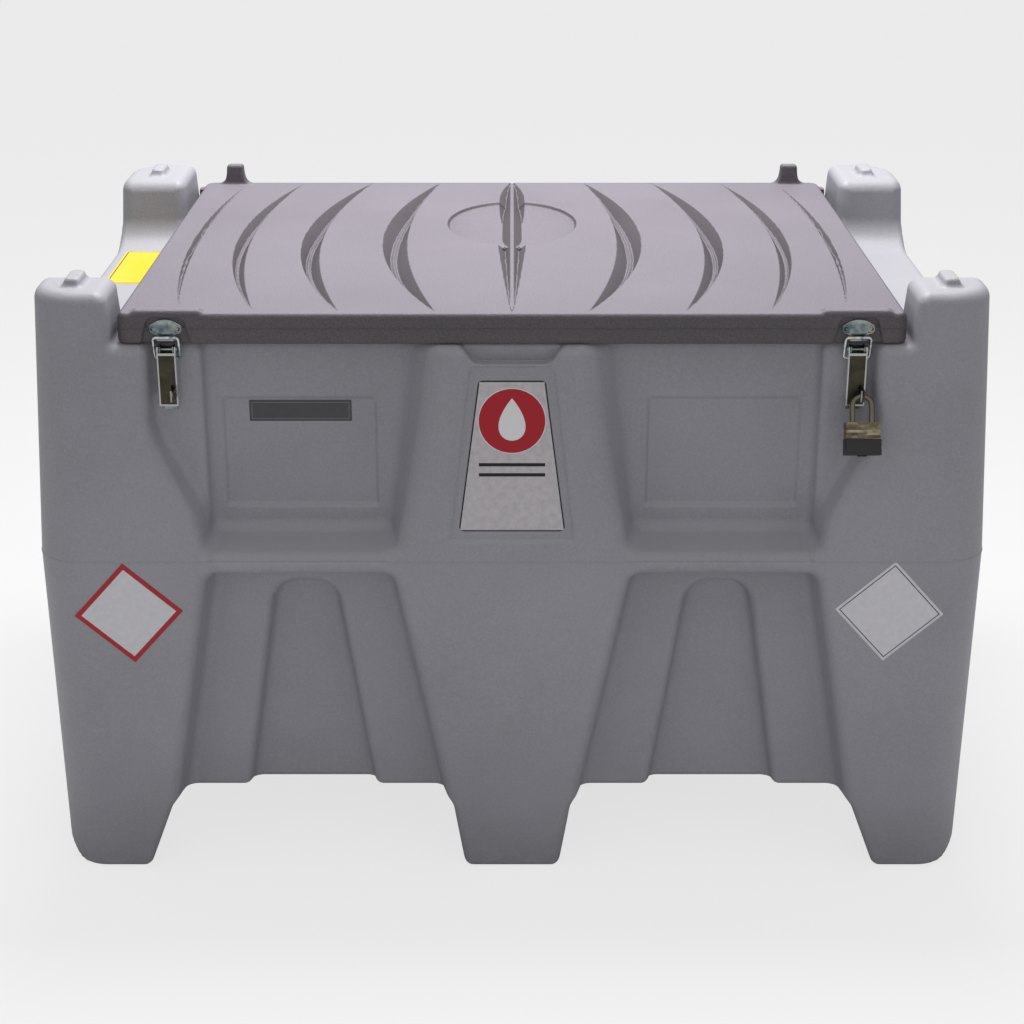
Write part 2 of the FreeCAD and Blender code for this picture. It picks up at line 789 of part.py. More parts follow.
def make_latch(side_name, x_rule):
    """One draw latch: the base on its pad, the lever on its pin, the wire bail, and the keeper on the lid."""
    metal = "sheet_metal"
    pad_face = "-(width / 2 - pad_deep)"
    base_y = f"{pad_face} - {metal}"
    ear_low = "lever_pin_z - 8"
    ear_high = "lever_pin_z + 4.4"
    ears = []
    for turn in (-1, 1):
        corners = [(base_y, ear_low), ("-lever_pin_y - 4.4", ear_low), ("-lever_pin_y - 4.4", ear_high),
                   (base_y, ear_high)]
        ears.append(prism(f"{side_name}_ear", corners, "ear_metal",
                          f"{x_rule} + {turn} * (ear_inner + ear_metal / 2)"))
    staple = [(base_y, "lock_eye_z - lock_ear_half"), ("-lock_ear_out", "lock_eye_z - lock_ear_half"),
              ("-lock_ear_out", "lock_eye_z + lock_ear_half"), (base_y, "lock_eye_z + lock_ear_half")]
    base = joined(f"{side_name}_base_solid", [
        block(f"{side_name}_base_plate", (f"{x_rule} - base_half", base_y, "base_low"),
              ("2 * base_half", metal, "base_high - base_low")),
        block(f"{side_name}_base_tab", (f"{x_rule} - base_tab_half", base_y, "base_tab_low"),
              ("2 * base_tab_half", metal, "base_low - base_tab_low + 1")),
        prism(f"{side_name}_staple", staple, metal, f"{x_rule} + staple_x + sheet_metal / 2"),
    ] + ears)
    base_holes = joined(f"{side_name}_base_holes", [
        cylinder(f"{side_name}_base_eye", "lock_eye_round", "6",
                 (f"{x_rule} + staple_x - 2", "-lock_eye_y", "lock_eye_z"), "x"),
        cylinder(f"{side_name}_base_pin_hole", "lever_pin_round", "2 * base_half + 4",
                 (f"{x_rule} - base_half - 2", "-lever_pin_y", "lever_pin_z"), "x"),
    ])
    part(f"{side_name}_latch_base", less(f"{side_name}_latch_base", base, base_holes))
    shank = cylinder(f"{side_name}_pin_shank", "lever_pin_round", "2 * lever_half + 2",
                     (f"{x_rule} - lever_half - 1", "-lever_pin_y", "lever_pin_z"), "x")
    heads = [cylinder(f"{side_name}_pin_head", "lever_pin_round + 1.2", "1",
                      (f"{x_rule} {sign} (lever_half + {off})", "-lever_pin_y", "lever_pin_z"), "x")
             for sign, off in (("-", 1.3), ("+", 0.3))]
    part(f"{side_name}_latch_pin", joined(f"{side_name}_latch_pin", [shank] + heads))
    make_lever(side_name, x_rule)
    make_bail(side_name, x_rule)
    make_keeper(side_name, x_rule)


def make_lever(side_name, x_rule):
    web = block(f"{side_name}_web", (f"{x_rule} - lever_half", "-lever_face", "lever_low"),
                ("2 * lever_half", "lever_metal", "lever_web_high - lever_low"))
    back = "-(width / 2 - pad_deep) - sheet_metal - knuckle_play"
    flange = [("-lever_face", "lever_low"), (back, "lever_low + 10"), (back, "lever_pin_z - 6"),
              ("-lever_pin_y + 4", "lever_pin_z + 4"), ("-lever_pin_y - 4", "lever_pin_z + 4"),
              ("-lever_face", "lever_web_high")]
    flanges = [prism(f"{side_name}_flange", flange, "lever_metal",
                     f"{x_rule} + {turn} * (lever_half - lever_metal / 2)") for turn in (-1, 1)]
    ear = [("-lever_face + 0.5", "lock_eye_z - lock_ear_half"),
           ("-lock_ear_out", "lock_eye_z - lock_ear_half"),
           ("-lock_ear_out", "lock_eye_z + lock_ear_half"),
           ("-lever_face + 0.5", "lock_eye_z + lock_ear_half")]
    solid = joined(f"{side_name}_lever_solid", [web] + flanges + [
        prism(f"{side_name}_lever_ear", ear, "sheet_metal", f"{x_rule} + lever_ear_x + sheet_metal / 2")])
    holes = joined(f"{side_name}_lever_holes", [
        cylinder(f"{side_name}_lever_bore", "lever_pin_round + pivot_play", "2 * lever_half + 4",
                 (f"{x_rule} - lever_half - 2", "-lever_pin_y", "lever_pin_z"), "x"),
        cylinder(f"{side_name}_bail_bore", "wire_round + pivot_play", "2 * lever_half + 4",
                 (f"{x_rule} - lever_half - 2", "-bail_pin_y", "bail_pin_z"), "x"),
        cylinder(f"{side_name}_lever_eye", "lock_eye_round", "3.2",
                 (f"{x_rule} + lever_ear_x - 0.6", "-lock_eye_y", "lock_eye_z"), "x"),
        block(f"{side_name}_slot", (f"{x_rule} + staple_x - 0.8", "-lever_face - 1", "lock_eye_z - 10"),
              ("sheet_metal + 1.6", "lever_metal + 2", "21")),
    ])
    part(f"{side_name}_latch_lever", less(f"{side_name}_latch_lever", solid, holes))


def make_bail(side_name, x_rule):
    """A closed loop of wire: its lower bar turns in the lever, its upper bar hooks over the keeper."""
    x = value(x_rule)
    half = value("bail_half")
    radius = value("wire_round")
    low = FreeCAD.Vector(0, -value("bail_pin_y"), value("bail_pin_z"))
    high = FreeCAD.Vector(0, -value("bail_bar_y"), value("bail_bar_z"))
    along = (high - low).normalize()
    corner = 4.0
    across = FreeCAD.Vector(1, 0, 0)

    def at(offset, base, lift):
        return base + across * (x + offset) + along * lift

    cut = corner * (1 - math.sqrt(0.5))
    edges = [Part.LineSegment(at(-half + corner, low, 0), at(half - corner, low, 0)).toShape()]
    bend = Part.Arc(at(half - corner, low, 0), at(half - cut, low, cut), at(half, low, corner))
    edges.append(bend.toShape())
    edges.append(Part.LineSegment(at(half, low, corner), at(half, high, -corner)).toShape())
    bend = Part.Arc(at(half, high, -corner), at(half - cut, high, -cut), at(half - corner, high, 0))
    edges.append(bend.toShape())
    edges.append(Part.LineSegment(at(half - corner, high, 0), at(-half + corner, high, 0)).toShape())
    bend = Part.Arc(at(-half + corner, high, 0), at(-half + cut, high, -cut), at(-half, high, -corner))
    edges.append(bend.toShape())
    edges.append(Part.LineSegment(at(-half, high, -corner), at(-half, low, corner)).toShape())
    bend = Part.Arc(at(-half, low, corner), at(-half + cut, low, cut), at(-half + corner, low, 0))
    edges.append(bend.toShape())
    path = Part.Wire(edges)
    ring = Part.Wire(Part.makeCircle(radius, at(-half + corner, low, 0), across))
    wire = doc.addObject("Part::Feature", f"{side_name}_bail_wire")
    wire.Shape = path.makePipeShell([ring], True, True)
    part(f"{side_name}_latch_bail", wire)


def make_keeper(side_name, x_rule):
    """The keeper: an oval plate in the lid's scallop with a lip under the bail, and its two rivets."""
    back = "-lid_front + scallop_deep"
    face = f"{back} - sheet_metal"
    plate = new_body(f"{side_name}_keeper_plate")
    corners = [
        (f"{x_rule} - keeper_half", "keeper_high - 15"),
        (f"{x_rule} - 12", "bail_bar_z - wire_round - knuckle_play - sheet_metal"),
        (f"{x_rule} + 12", "bail_bar_z - wire_round - knuckle_play - sheet_metal"),
        (f"{x_rule} + keeper_half", "keeper_high - 15"),
        (f"{x_rule} + keeper_half - 3", "keeper_high - 6"),
        (f"{x_rule} + 8", "keeper_high"),
        (f"{x_rule} - 8", "keeper_high"),
        (f"{x_rule} - keeper_half + 3", "keeper_high - 6"),
    ]
    pad(plate, outline(plate, "XZ_Plane", corners, f"-({face})"), "sheet_metal", back=True)
    lip = block(f"{side_name}_lip", (f"{x_rule} - 9", "-keeper_lip_y",
                                     "bail_bar_z - wire_round - knuckle_play - sheet_metal"),
                ("18", f"keeper_lip_y + ({face}) + 0.5", "sheet_metal"))
    turn_up = block(f"{side_name}_lip_edge", (f"{x_rule} - 9", "-keeper_lip_y - 1.4",
                                              "bail_bar_z - wire_round - knuckle_play - sheet_metal"),
                    ("18", "1.5", "sheet_metal + 0.5"))
    part(f"{side_name}_keeper", joined(f"{side_name}_keeper", [plate, lip, turn_up]))
    rivets = []
    for turn in (-1, 1):
        rivets.append(cylinder(f"{side_name}_rivet", "3", "1.5",
                               (f"{x_rule} + {turn} * 13", f"{face} - 1.5", "keeper_high - 12"), "y"))
    part(f"{side_name}_keeper_rivets", joined(f"{side_name}_keeper_rivets", rivets))


def make_padlock():
    """The padlock hangs by its shackle from the eyes of the right latch."""
    middle = value("latch_x + (lever_ear_x + staple_x + sheet_metal) / 2")
    y = -value("lock_eye_y")
    top = value("lock_eye_z - shackle_drop")
    half = value("shackle_half")
    centre = top - half
    foot_long = value("case_low + 10")
    foot_short = value("case_high - 8")
    points = [FreeCAD.Vector(middle - half, y, foot_long), FreeCAD.Vector(middle - half, y, centre),
              FreeCAD.Vector(middle, y, top), FreeCAD.Vector(middle + half, y, centre),
              FreeCAD.Vector(middle + half, y, foot_short)]
    path = Part.Wire([Part.LineSegment(points[0], points[1]).toShape(),
                      Part.Arc(points[1], points[2], points[3]).toShape(),
                      Part.LineSegment(points[3], points[4]).toShape()])
    ring = Part.Wire(Part.makeCircle(value("shackle_round"), points[0], FreeCAD.Vector(0, 0, 1)))
    shackle = doc.addObject("Part::Feature", "padlock_shackle_bar")
    shackle.Shape = path.makePipeShell([ring], True, True)
    part("padlock_shackle", shackle)
    centre_x = "latch_x + (lever_ear_x + staple_x + sheet_metal) / 2"
    case = block("case_block", (f"{centre_x} - case_half", "-lock_eye_y - case_half_thick", "case_low"),
                 ("2 * case_half", "2 * case_half_thick", "case_high - case_low"))
    grooves = []
    count = int(value("case_plates"))
    for number in range(1, count):
        level = f"case_low + (case_high - case_low) * {number} / case_plates - case_groove / 2"
        rim = block("groove_rim", (f"{centre_x} - case_half - 1", "-lock_eye_y - case_half_thick - 1", level),
                    ("2 * case_half + 2", "2 * case_half_thick + 2", "case_groove"))
        core = block("groove_core", (f"{centre_x} - case_half + case_groove",
                                    "-lock_eye_y - case_half_thick + case_groove", f"{level} - 1"),
                     ("2 * (case_half - case_groove)", "2 * (case_half_thick - case_groove)",
                      "case_groove + 2"))
        grooves.append(less("plate_groove", rim, core))
    bores = [
        cylinder("bore_long", "shackle_round + 0.2", "case_high - case_low",
                 (f"{centre_x} - shackle_half", "-lock_eye_y", "case_low + 9.7"), None),
        cylinder("bore_short", "shackle_round + 0.2", "20",
                 (f"{centre_x} + shackle_half", "-lock_eye_y", "case_high - 8.3"), None),
    ]
    part("padlock_case", less("padlock_case", case, joined("case_cuts", grooves + bores)))
    bumper = joined("padlock_bumper", [
        block("bumper_block",
              (f"{centre_x} - case_half - 1", "-lock_eye_y - case_half_thick - 1", "bumper_low"),
              ("2 * case_half + 2", "2 * case_half_thick + 2", "case_low - bumper_low")),
        cylinder("key_barrel", "case_half_thick - 3", "case_low - bumper_low + 1.5",
                 (centre_x, "-lock_eye_y", "bumper_low - 1.5")),
    ])
    part("padlock_bumper", bumper)
    lean = FreeCAD.Rotation(FreeCAD.Vector(1, 0, 0), -value("padlock_lean"))
    for thing in (shackle, PARTS["padlock_case"], bumper):
        thing.Placement = FreeCAD.Placement(FreeCAD.Vector(), lean, FreeCAD.Vector(middle, y, top))


def make_hinge(side_name, x_rule):
    """A cranked butt hinge: the lower leaf on the rear pad, the upper leaf on the lid, and the pin."""
    face = "width / 2 - pad_deep"
    lower = new_body(f"{side_name}_lower_profile")
    corners = [
        (face, "leaf_low"),
        (f"{face} + leaf_metal", "leaf_low"),
        (f"{face} + leaf_metal", "hinge_z - 11"),
        ("hinge_y + 1", "hinge_z - 4.8"),
        ("hinge_y - 2", "hinge_z - 4.4"),
        (face, "hinge_z - 9"),
    ]
    pad(lower, outline(lower, "YZ_Plane", corners, x_rule), "2 * hinge_half", both=True)
    rings = []
    gaps = []
    for turn in (-1, 1):
        middle = "(hinge_half + hinge_middle_half + knuckle_play) / 2"
        long = "hinge_half - hinge_middle_half - knuckle_play"
        rings.append(cylinder(f"{side_name}_ring", "knuckle_round", long,
                              (f"{x_rule} + {turn} * {middle} - ({long}) / 2", "hinge_y", "hinge_z"), "x"))
    gaps.append(cylinder(f"{side_name}_middle_room", "knuckle_round + knuckle_play",
                         "2 * (hinge_middle_half + knuckle_play)",
                         (f"{x_rule} - hinge_middle_half - knuckle_play", "hinge_y", "hinge_z"), "x"))
    bore = cylinder(f"{side_name}_lower_bore", "hinge_pin_round", "2 * hinge_half + 2",
                    (f"{x_rule} - hinge_half - 1", "hinge_y", "hinge_z"), "x")
    leaf = less(f"{side_name}_lower_leaf_solid", lower, gaps[0])
    ringed = joined(f"{side_name}_lower_leaf_ringed", [leaf] + rings)
    part(f"{side_name}_hinge_lower_leaf", less(f"{side_name}_hinge_lower_leaf", ringed, bore))
    upper = new_body(f"{side_name}_upper_profile")
    corners = [
        ("lid_rear", "hinge_z + 8"),
        ("lid_rear", "leaf_high"),
        ("lid_rear + leaf_metal", "leaf_high"),
        ("lid_rear + leaf_metal", "hinge_z + 9"),
        ("hinge_y + 2", "hinge_z + 4.4"),
        ("hinge_y - 1", "hinge_z + 4.8"),
    ]
    pad(upper, outline(upper, "YZ_Plane", corners, x_rule), "2 * hinge_middle_half", both=True)
    ring = cylinder(f"{side_name}_upper_ring", "knuckle_round", "2 * hinge_middle_half",
                    (f"{x_rule} - hinge_middle_half", "hinge_y", "hinge_z"), "x")
    bore = cylinder(f"{side_name}_upper_bore", "hinge_pin_round + pivot_play", "2 * hinge_half",
                    (f"{x_rule} - hinge_half", "hinge_y", "hinge_z"), "x")
    wide = block(f"{side_name}_upper_plate", (f"{x_rule} - hinge_half", "lid_rear", "hinge_z + 12"),
                 ("2 * hinge_half", "leaf_metal", "leaf_high - hinge_z - 12"))
    solid = joined(f"{side_name}_upper_leaf_solid", [upper, ring, wide])
    part(f"{side_name}_hinge_upper_leaf", less(f"{side_name}_hinge_upper_leaf", solid, bore))
    part(f"{side_name}_hinge_pin", cylinder(f"{side_name}_hinge_pin", "hinge_pin_round", "2 * hinge_half + 4",
                                            (f"{x_rule} - hinge_half - 2", "hinge_y", "hinge_z"), "x"))


def make_filler():
    """The filler neck stands over its opening in the well floor, with a ribbed screw cap on it."""
    at = ("filler_x", "filler_y", "well_floor")
    solid = joined("neck_solid", [
        cylinder("neck_tube", "filler_round", "filler_high", at),
        cylinder("neck_flange", "filler_round + 14", "flange_thick", at),
    ])
    bore = cylinder("neck_bore", "filler_round - filler_wall", "filler_high + 2",
                    ("filler_x", "filler_y", "well_floor - 1"))
    part("filler_neck", less("filler_neck", solid, bore))
    rest = f"well_floor + filler_high + knuckle_play"
    top = cylinder("cap_top", "cap_round", "cap_high", ("filler_x", "filler_y", f"{rest} - cap_high + 6"))
    hollow = cylinder("cap_hollow", "filler_round + knuckle_play", "cap_high",
                      ("filler_x", "filler_y", f"{rest} - cap_high"))
    grips = []
    for number in range(int(value("cap_ribs"))):
        turn = 360 * number / value("cap_ribs")
        rib = doc.addObject("Part::Cylinder", "cap_rib")
        rib.Radius = 4
        tie(rib, "Height", "cap_high - 6")
        tie(rib, "Placement.Base.x", f"filler_x + (cap_round - 1) * cos({turn} deg)")
        tie(rib, "Placement.Base.y", f"filler_y + (cap_round - 1) * sin({turn} deg)")
        tie(rib, "Placement.Base.z", f"{rest} - cap_high + 9")
        grips.append(rib)
    part("filler_cap", less("filler_cap", joined("cap_solid", [top] + grips), hollow))
    vent = joined("vent_solid", [
        cylinder("vent_stem", "vent_round", "vent_high", ("vent_x", "vent_y", "well_floor")),
        cylinder("vent_hood", "vent_round + 7", "14", ("vent_x", "vent_y", "well_floor + vent_high - 4")),
    ])
    part("vent_valve", vent)


def make_pump():
    """The pump set: a round pump housing and its motor in line along X on a foot plate."""
    axis_z = "well_floor + pump_axis_high"
    face = "pump_x - pump_long"
    plate = block("foot_sheet", ("pump_x - pump_long", "pump_y - foot_plate_half", "well_floor"),
                  ("foot_plate_long", "2 * foot_plate_half", "foot_plate_thick"))
    webs = [block("foot_web",
                  (f"pump_x - pump_long + {step}", "pump_y - 30", "well_floor + foot_plate_thick"),
                  ("6", "60", "pump_axis_high - foot_plate_thick - 30")) for step in (24, 132)]
    round_cut = cylinder("foot_round", "pump_round", "pump_long", (face, "pump_y", axis_z), "x")
    motor_cut = cylinder("foot_motor_round", "motor_round", "motor_long", ("pump_x", "pump_y", axis_z), "x")
    part("pump_foot", less("pump_foot", joined("foot_solid", [plate] + webs),
                           joined("foot_cuts", [round_cut, motor_cut])))
    housing = joined("housing_solid", [
        cylinder("housing_drum", "pump_round", "pump_long", (face, "pump_y", axis_z), "x"),
        cylinder("outlet_boss", "pipe_round + 4", "pump_round + 12",
                 ("pump_x - pump_long / 2", "pump_y", axis_z)),
        cylinder("inlet_boss", "pipe_round + 4", "pump_round + 12",
                 ("pump_x - pump_long / 2", "pump_y", axis_z), "-y"),
    ])
    part("pump_housing", housing)
    cover = joined("cover_solid", [
        cylinder("cover_disc", "pump_round", "cover_thick", (f"{face} - cover_thick", "pump_y", axis_z), "x"),
        cylinder("cover_hub", "22", "6", (f"{face} - cover_thick - 6", "pump_y", axis_z), "x"),
    ])
    part("pump_cover", cover)
    bolts = []
    for number in range(6):
        head = doc.addObject("Part::Prism", "bolt_head")
        head.Polygon = 6
        head.Circumradius = 5
        head.Height = 4
        turn_and_place(head, (f"{face} - cover_thick - 4", f"pump_y + 43 * cos({60 * number} deg)",
                              f"{axis_z} + 43 * sin({60 * number} deg)"), "x")
        bolts.append(head)
    part("pump_bolts", joined("pump_bolts", bolts))
    case = joined("motor_solid", [
        cylinder("motor_drum", "motor_round", "motor_long", ("pump_x", "pump_y", axis_z), "x"),
        cylinder("motor_rim", "motor_round + 4", "8", ("pump_x", "pump_y", axis_z), "x"),
    ])
    part("motor_case", case)
    cap = cylinder("motor_cap", "motor_round + 1", "motor_cap_long",
                   ("pump_x + motor_long", "pump_y", axis_z), "x")
    part("motor_cap", cap)
    box_low = f"{axis_z} + motor_round - 8"
    box = block("switch_block", ("pump_x + 34", "pump_y - switch_wide / 2", box_low),
                ("switch_long", "switch_wide", "switch_high + 8"))
    drum = cylinder("switch_hollow", "motor_round", "motor_long", ("pump_x", "pump_y", axis_z), "x")
    slot = block("switch_slot",
                 ("pump_x + 34 + switch_long / 2 - 9.5", "pump_y - 6", f"{box_low} + switch_high - 5"),
                 ("19", "12", "14"))
    pivot = (f"{box_low} + switch_high + 2")
    pin = cylinder("switch_pin", "1.5", "16", ("pump_x + 34 + switch_long / 2", "pump_y - 8", pivot), "y")
    hollow_box = less("switch_body", box, joined("switch_cuts", [drum, slot]))
    part("switch_box", joined("switch_box", [hollow_box, pin]))
    rocker = new_body("rocker_profile")
    corners = [("-5", "-7.5"), ("5", "-7.5"), ("7.5", "-1"), ("7.5", "4"), ("0", "2.4"),
               ("-7.5", "6.5"), ("-7.5", "-1")]
    pad(rocker, outline(rocker, "XZ_Plane", corners), "11", both=True)
    turn_and_place(rocker, ("pump_x + 34 + switch_long / 2", "pump_y", f"{box_low} + switch_high + 6"))
    bore = cylinder("rocker_bore", "1.5 + pivot_play", "20",
                    ("pump_x + 34 + switch_long / 2", "pump_y - 10", pivot), "y")
    part("pump_switch", less("pump_switch", rocker, bore))
    make_pipes(axis_z)


def make_pipes(axis_z):
    """The suction tube through the well floor, its elbow, and the outlet elbow with the hose tail."""
    inlet_x = "pump_x - pump_long / 2"
    inlet_y = "pump_y - pump_round - 12"
    tube_z = "well_floor"
    solid = joined("flange_solid", [
        cylinder("flange_disc", "flange_round", "flange_thick", ("suction_x", "pump_y", tube_z)),
        cylinder("flange_neck", "tube_round + 5", "22", ("suction_x", "pump_y", tube_z)),
    ])
    bore = cylinder("flange_bore", "tube_round", "40", ("suction_x", "pump_y", f"{tube_z} - 2"))
    part("suction_flange", less("suction_flange", solid, bore))
    tube = cylinder("tube_outer", "tube_round", "well_floor + 22 - tube_low",
                    ("suction_x", "pump_y", "tube_low"))
    hollow = cylinder("tube_inner", "tube_round - tube_wall", "well_floor + 40 - tube_low",
                      ("suction_x", "pump_y", "tube_low - 2"))
    part("suction_tube", less("suction_tube", tube, hollow))
    strainer = cylinder("strainer_cup", "tube_round + 6", "44", ("suction_x", "pump_y", "tube_low - 6"))
    strainer_bore = cylinder("strainer_bore", "tube_round", "60", ("suction_x", "pump_y", "tube_low"))
    part("foot_strainer", less("foot_strainer", strainer, strainer_bore))
    x = value("suction_x")
    y = value("pump_y")
    low = value("well_floor + 22")
    z = value(axis_z)
    end = FreeCAD.Vector(value(inlet_x), value(inlet_y), z)
    turn_y = value(inlet_y) - 34
    path = rounded_path([
        FreeCAD.Vector(x, y, low),
        FreeCAD.Vector(x, y, low + 34),
        FreeCAD.Vector(x, turn_y, low + 34),
        FreeCAD.Vector(end.x, turn_y, z),
        end,
    ], 17.0)
    pipe = doc.addObject("Part::Feature", "suction_pipe_bar")
    pipe.Shape = hollow_pipe(path, value("pipe_round"), value("pipe_bore"))
    part("suction_pipe", pipe)
    top = f"{axis_z} + pump_round + 12"
    elbow = rounded_path([
        FreeCAD.Vector(value(inlet_x), y, value(top)),
        FreeCAD.Vector(value(inlet_x), y, value(top) + 27),
        FreeCAD.Vector(value(inlet_x), y - 62, value(top) + 27),
    ], 17.0)
    bend = doc.addObject("Part::Feature", "outlet_elbow_bar")
    bend.Shape = hollow_pipe(elbow, value("pipe_round - 2"), value("tail_bore"))
    part("outlet_elbow", bend)
    part("hose_tail", make_tail(elbow))


def rounded_path(points, radius):
    """Straight runs through the points, each corner rounded by a tangent arc."""
    edges = []
    start = points[0]
    for before, corner, after in zip(points, points[1:], points[2:]):
        back = (before - corner).normalize()
        forth = (after - corner).normalize()
        half = back.getAngle(forth) / 2
        reach = radius / math.tan(half)
        first = corner + back * reach
        last = corner + forth * reach
        inward = (back + forth).normalize()
        middle = corner + inward * (radius / math.sin(half) - radius)
        edges.append(Part.LineSegment(start, first).toShape())
        edges.append(Part.Arc(first, middle, last).toShape())
        start = last
    edges.append(Part.LineSegment(start, points[-1]).toShape())
    return Part.Wire(edges)


def pipe_solid(path, radius):
    first = path.Edges[0]
    start = first.valueAt(first.FirstParameter)
    along = first.tangentAt(first.FirstParameter)
    ring = Part.Wire(Part.makeCircle(radius, start, along))
    return path.makePipeShell([ring], True, True)


def hollow_pipe(path, radius, bore):
    return pipe_solid(path, radius).cut(pipe_solid(path, bore))


def make_tail(elbow):
    """A hose tail that continues the outlet elbow: a collar, a plain seat for the hose and a tapered end."""
    last = elbow.Edges[-1]
    end = last.valueAt(last.LastParameter)
    along = last.tangentAt(last.LastParameter)
    collar = value("tail_collar")
    seat = collar + value("tail_long")
    tip = seat + value("tail_taper")
    profile = [(value("tail_bore"), 0), (value("pipe_round"), 0), (value("pipe_round"), collar),
               (value("tail_round"), collar), (value("tail_round"), seat), (value("tail_bore + 1"), tip),
               (value("tail_bore"), tip)]
    wire = Part.makePolygon([FreeCAD.Vector(r, 0, h) for r, h in profile + profile[:1]])
    solid = Part.Face(wire).revolve(FreeCAD.Vector(), FreeCAD.Vector(0, 0, 1), 360)
    tail = doc.addObject("Part::Feature", "hose_tail_bar")
    tail.Shape = solid
    tail.Placement = FreeCAD.Placement(end, FreeCAD.Rotation(FreeCAD.Vector(0, 0, 1), along))
    return tail


def make_nozzle():
    """The dispensing nozzle lies along X in its holster, spout to the left."""
    y = "nozzle_y"
    z = "well_floor + nozzle_high"
    handle = joined("nozzle_solid", [
        cylinder("nozzle_barrel", "nozzle_round", "nozzle_long", ("nozzle_x", y, z), "x"),
        cylinder("nozzle_inlet", "nozzle_round + 3", "26", ("nozzle_x + nozzle_long", y, z), "x"),
        cylinder("nozzle_nose", "nozzle_round - 4", "16", ("nozzle_x - 16", y, z), "x"),
    ])
    bore = cylinder("nozzle_inlet_bore", "tail_round", "20", ("nozzle_x + nozzle_long + 8", y, z), "x")
    lugs = [block("trigger_lug", ("nozzle_x + trigger_at - 6", f"{y} {start}", f"{z} - nozzle_round - 17"),
                  ("12", "2.5", "22"))
            for start in ("- 7.5", "+ 5")]
    pin = cylinder("trigger_pin", "2", "15",
                   ("nozzle_x + trigger_at", f"{y} - 7.5", f"{z} - nozzle_round - 12"), "y")
    part("nozzle_body", joined("nozzle_body", [less("nozzle_turned", handle, bore), pin] + lugs))
    spout = cylinder("spout_tube", "spout_round", "spout_long", ("nozzle_x - 16 - spout_long", y, z), "x")
    hollow = cylinder("spout_bore", "spout_round - spout_wall", "spout_long + 2",
                      ("nozzle_x - 17 - spout_long", y, z), "x")
    part("nozzle_spout", less("nozzle_spout", spout, hollow))
    rule = "nozzle_x"
    guard_body = new_body("guard_profile")
    outer = [(f"{rule} + 14", "-10"), (f"{rule} + 24", "-guard_drop"),
             (f"{rule} + nozzle_long - 14", "-guard_drop"),
             (f"{rule} + nozzle_long", "-10")]
    pad(guard_body, outline(guard_body, "XZ_Plane", outer), "12", both=True)
    inner = [(f"{rule} + 19", "-12"), (f"{rule} + 28", "-guard_drop + 4"),
             (f"{rule} + nozzle_long - 18", "-guard_drop + 4"), (f"{rule} + nozzle_long - 6", "-12")]
    pocket(guard_body, outline(guard_body, "XZ_Plane", inner), "40", both=True)
    turn_and_place(guard_body, ("0", y, z))
    barrel = cylinder("guard_barrel", "nozzle_round", "nozzle_long + 4", ("nozzle_x - 2", y, z), "x")
    inlet = cylinder("guard_inlet", "nozzle_round + 3", "26", ("nozzle_x + nozzle_long", y, z), "x")
    part("nozzle_guard", less("nozzle_guard", guard_body, joined("guard_cuts", [barrel, inlet])))
    trigger = new_body("trigger_profile")
    corners = [("-4", "-4"), ("4", "-4"), ("8", "-3"), ("42", "-6.5"), ("58", "-4"),
               ("58", "-1"), ("42", "-3"),
               ("8", "4"), ("-4", "4")]
    pad(trigger, outline(trigger, "XZ_Plane", corners), "9", both=True)
    turn_and_place(trigger, ("nozzle_x + trigger_at", y, f"{z} - nozzle_round - 12"))
    pivot = cylinder("trigger_bore", "2 + pivot_play", "20",
                     ("nozzle_x + trigger_at", f"{y} - 10", f"{z} - nozzle_round - 12"), "y")
    part("nozzle_trigger", less("nozzle_trigger", trigger, pivot))
    cup = joined("holster_solid", [
        block("holster_base", ("nozzle_x - 150", f"{y} - 26", "well_floor"), ("250", "52", "4")),
        block("holster_front", ("nozzle_x - 120", f"{y} - 16", "well_floor + 4"),
              ("6", "32", "nozzle_high - 4")),
        block("holster_rear", ("nozzle_x - 8", f"{y} - 22", "well_floor + 4"),
              ("6", "44", "nozzle_high - 4")),
    ])
    cuts = joined("holster_cuts", [
        cylinder("holster_spout", "spout_round", "60", ("nozzle_x - 150", y, z), "x"),
        cylinder("holster_nose", "nozzle_round - 4", "16", ("nozzle_x - 16", y, z), "x"),
    ])
    part("nozzle_holster", less("nozzle_holster", cup, cuts))


make_tank()
make_lid()
for side_name, x_rule in (("left", "-latch_x"), ("right", "latch_x")):
    make_latch(side_name, x_rule)
for side_name, x_rule in (("left", "-hinge_x"), ("right", "hinge_x")):
    make_hinge(side_name, x_rule)
make_padlock()
make_filler()
make_pump()
make_nozzle()
doc.recompute()

faults = [f"{thing.Name}: {thing.State}" for thing in doc.Objects
          if any(word in thing.State for word in ("Invalid", "Error"))]
for label, thing in PARTS.items():
    if thing.Shape.isNull() or not thing.Shape.isValid() or not thing.Shape.Solids:
        faults.append(f"{label}: no valid shape")
if faults:
    raise SystemExit("failed: " + "; ".join(faults))

os.makedirs("parts", exist_ok=True)
for label, thing in PARTS.items():
    thing.Shape.exportStep(f"parts/{label}.step")
    print(label, len(thing.Shape.Solids), round(thing.Shape.Volume / 1000, 1), thing.Shape.BoundBox)
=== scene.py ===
"""Looks of a diesel transfer tank: its smooth mouldings, signs, latches, padlock and pump set."""

import math

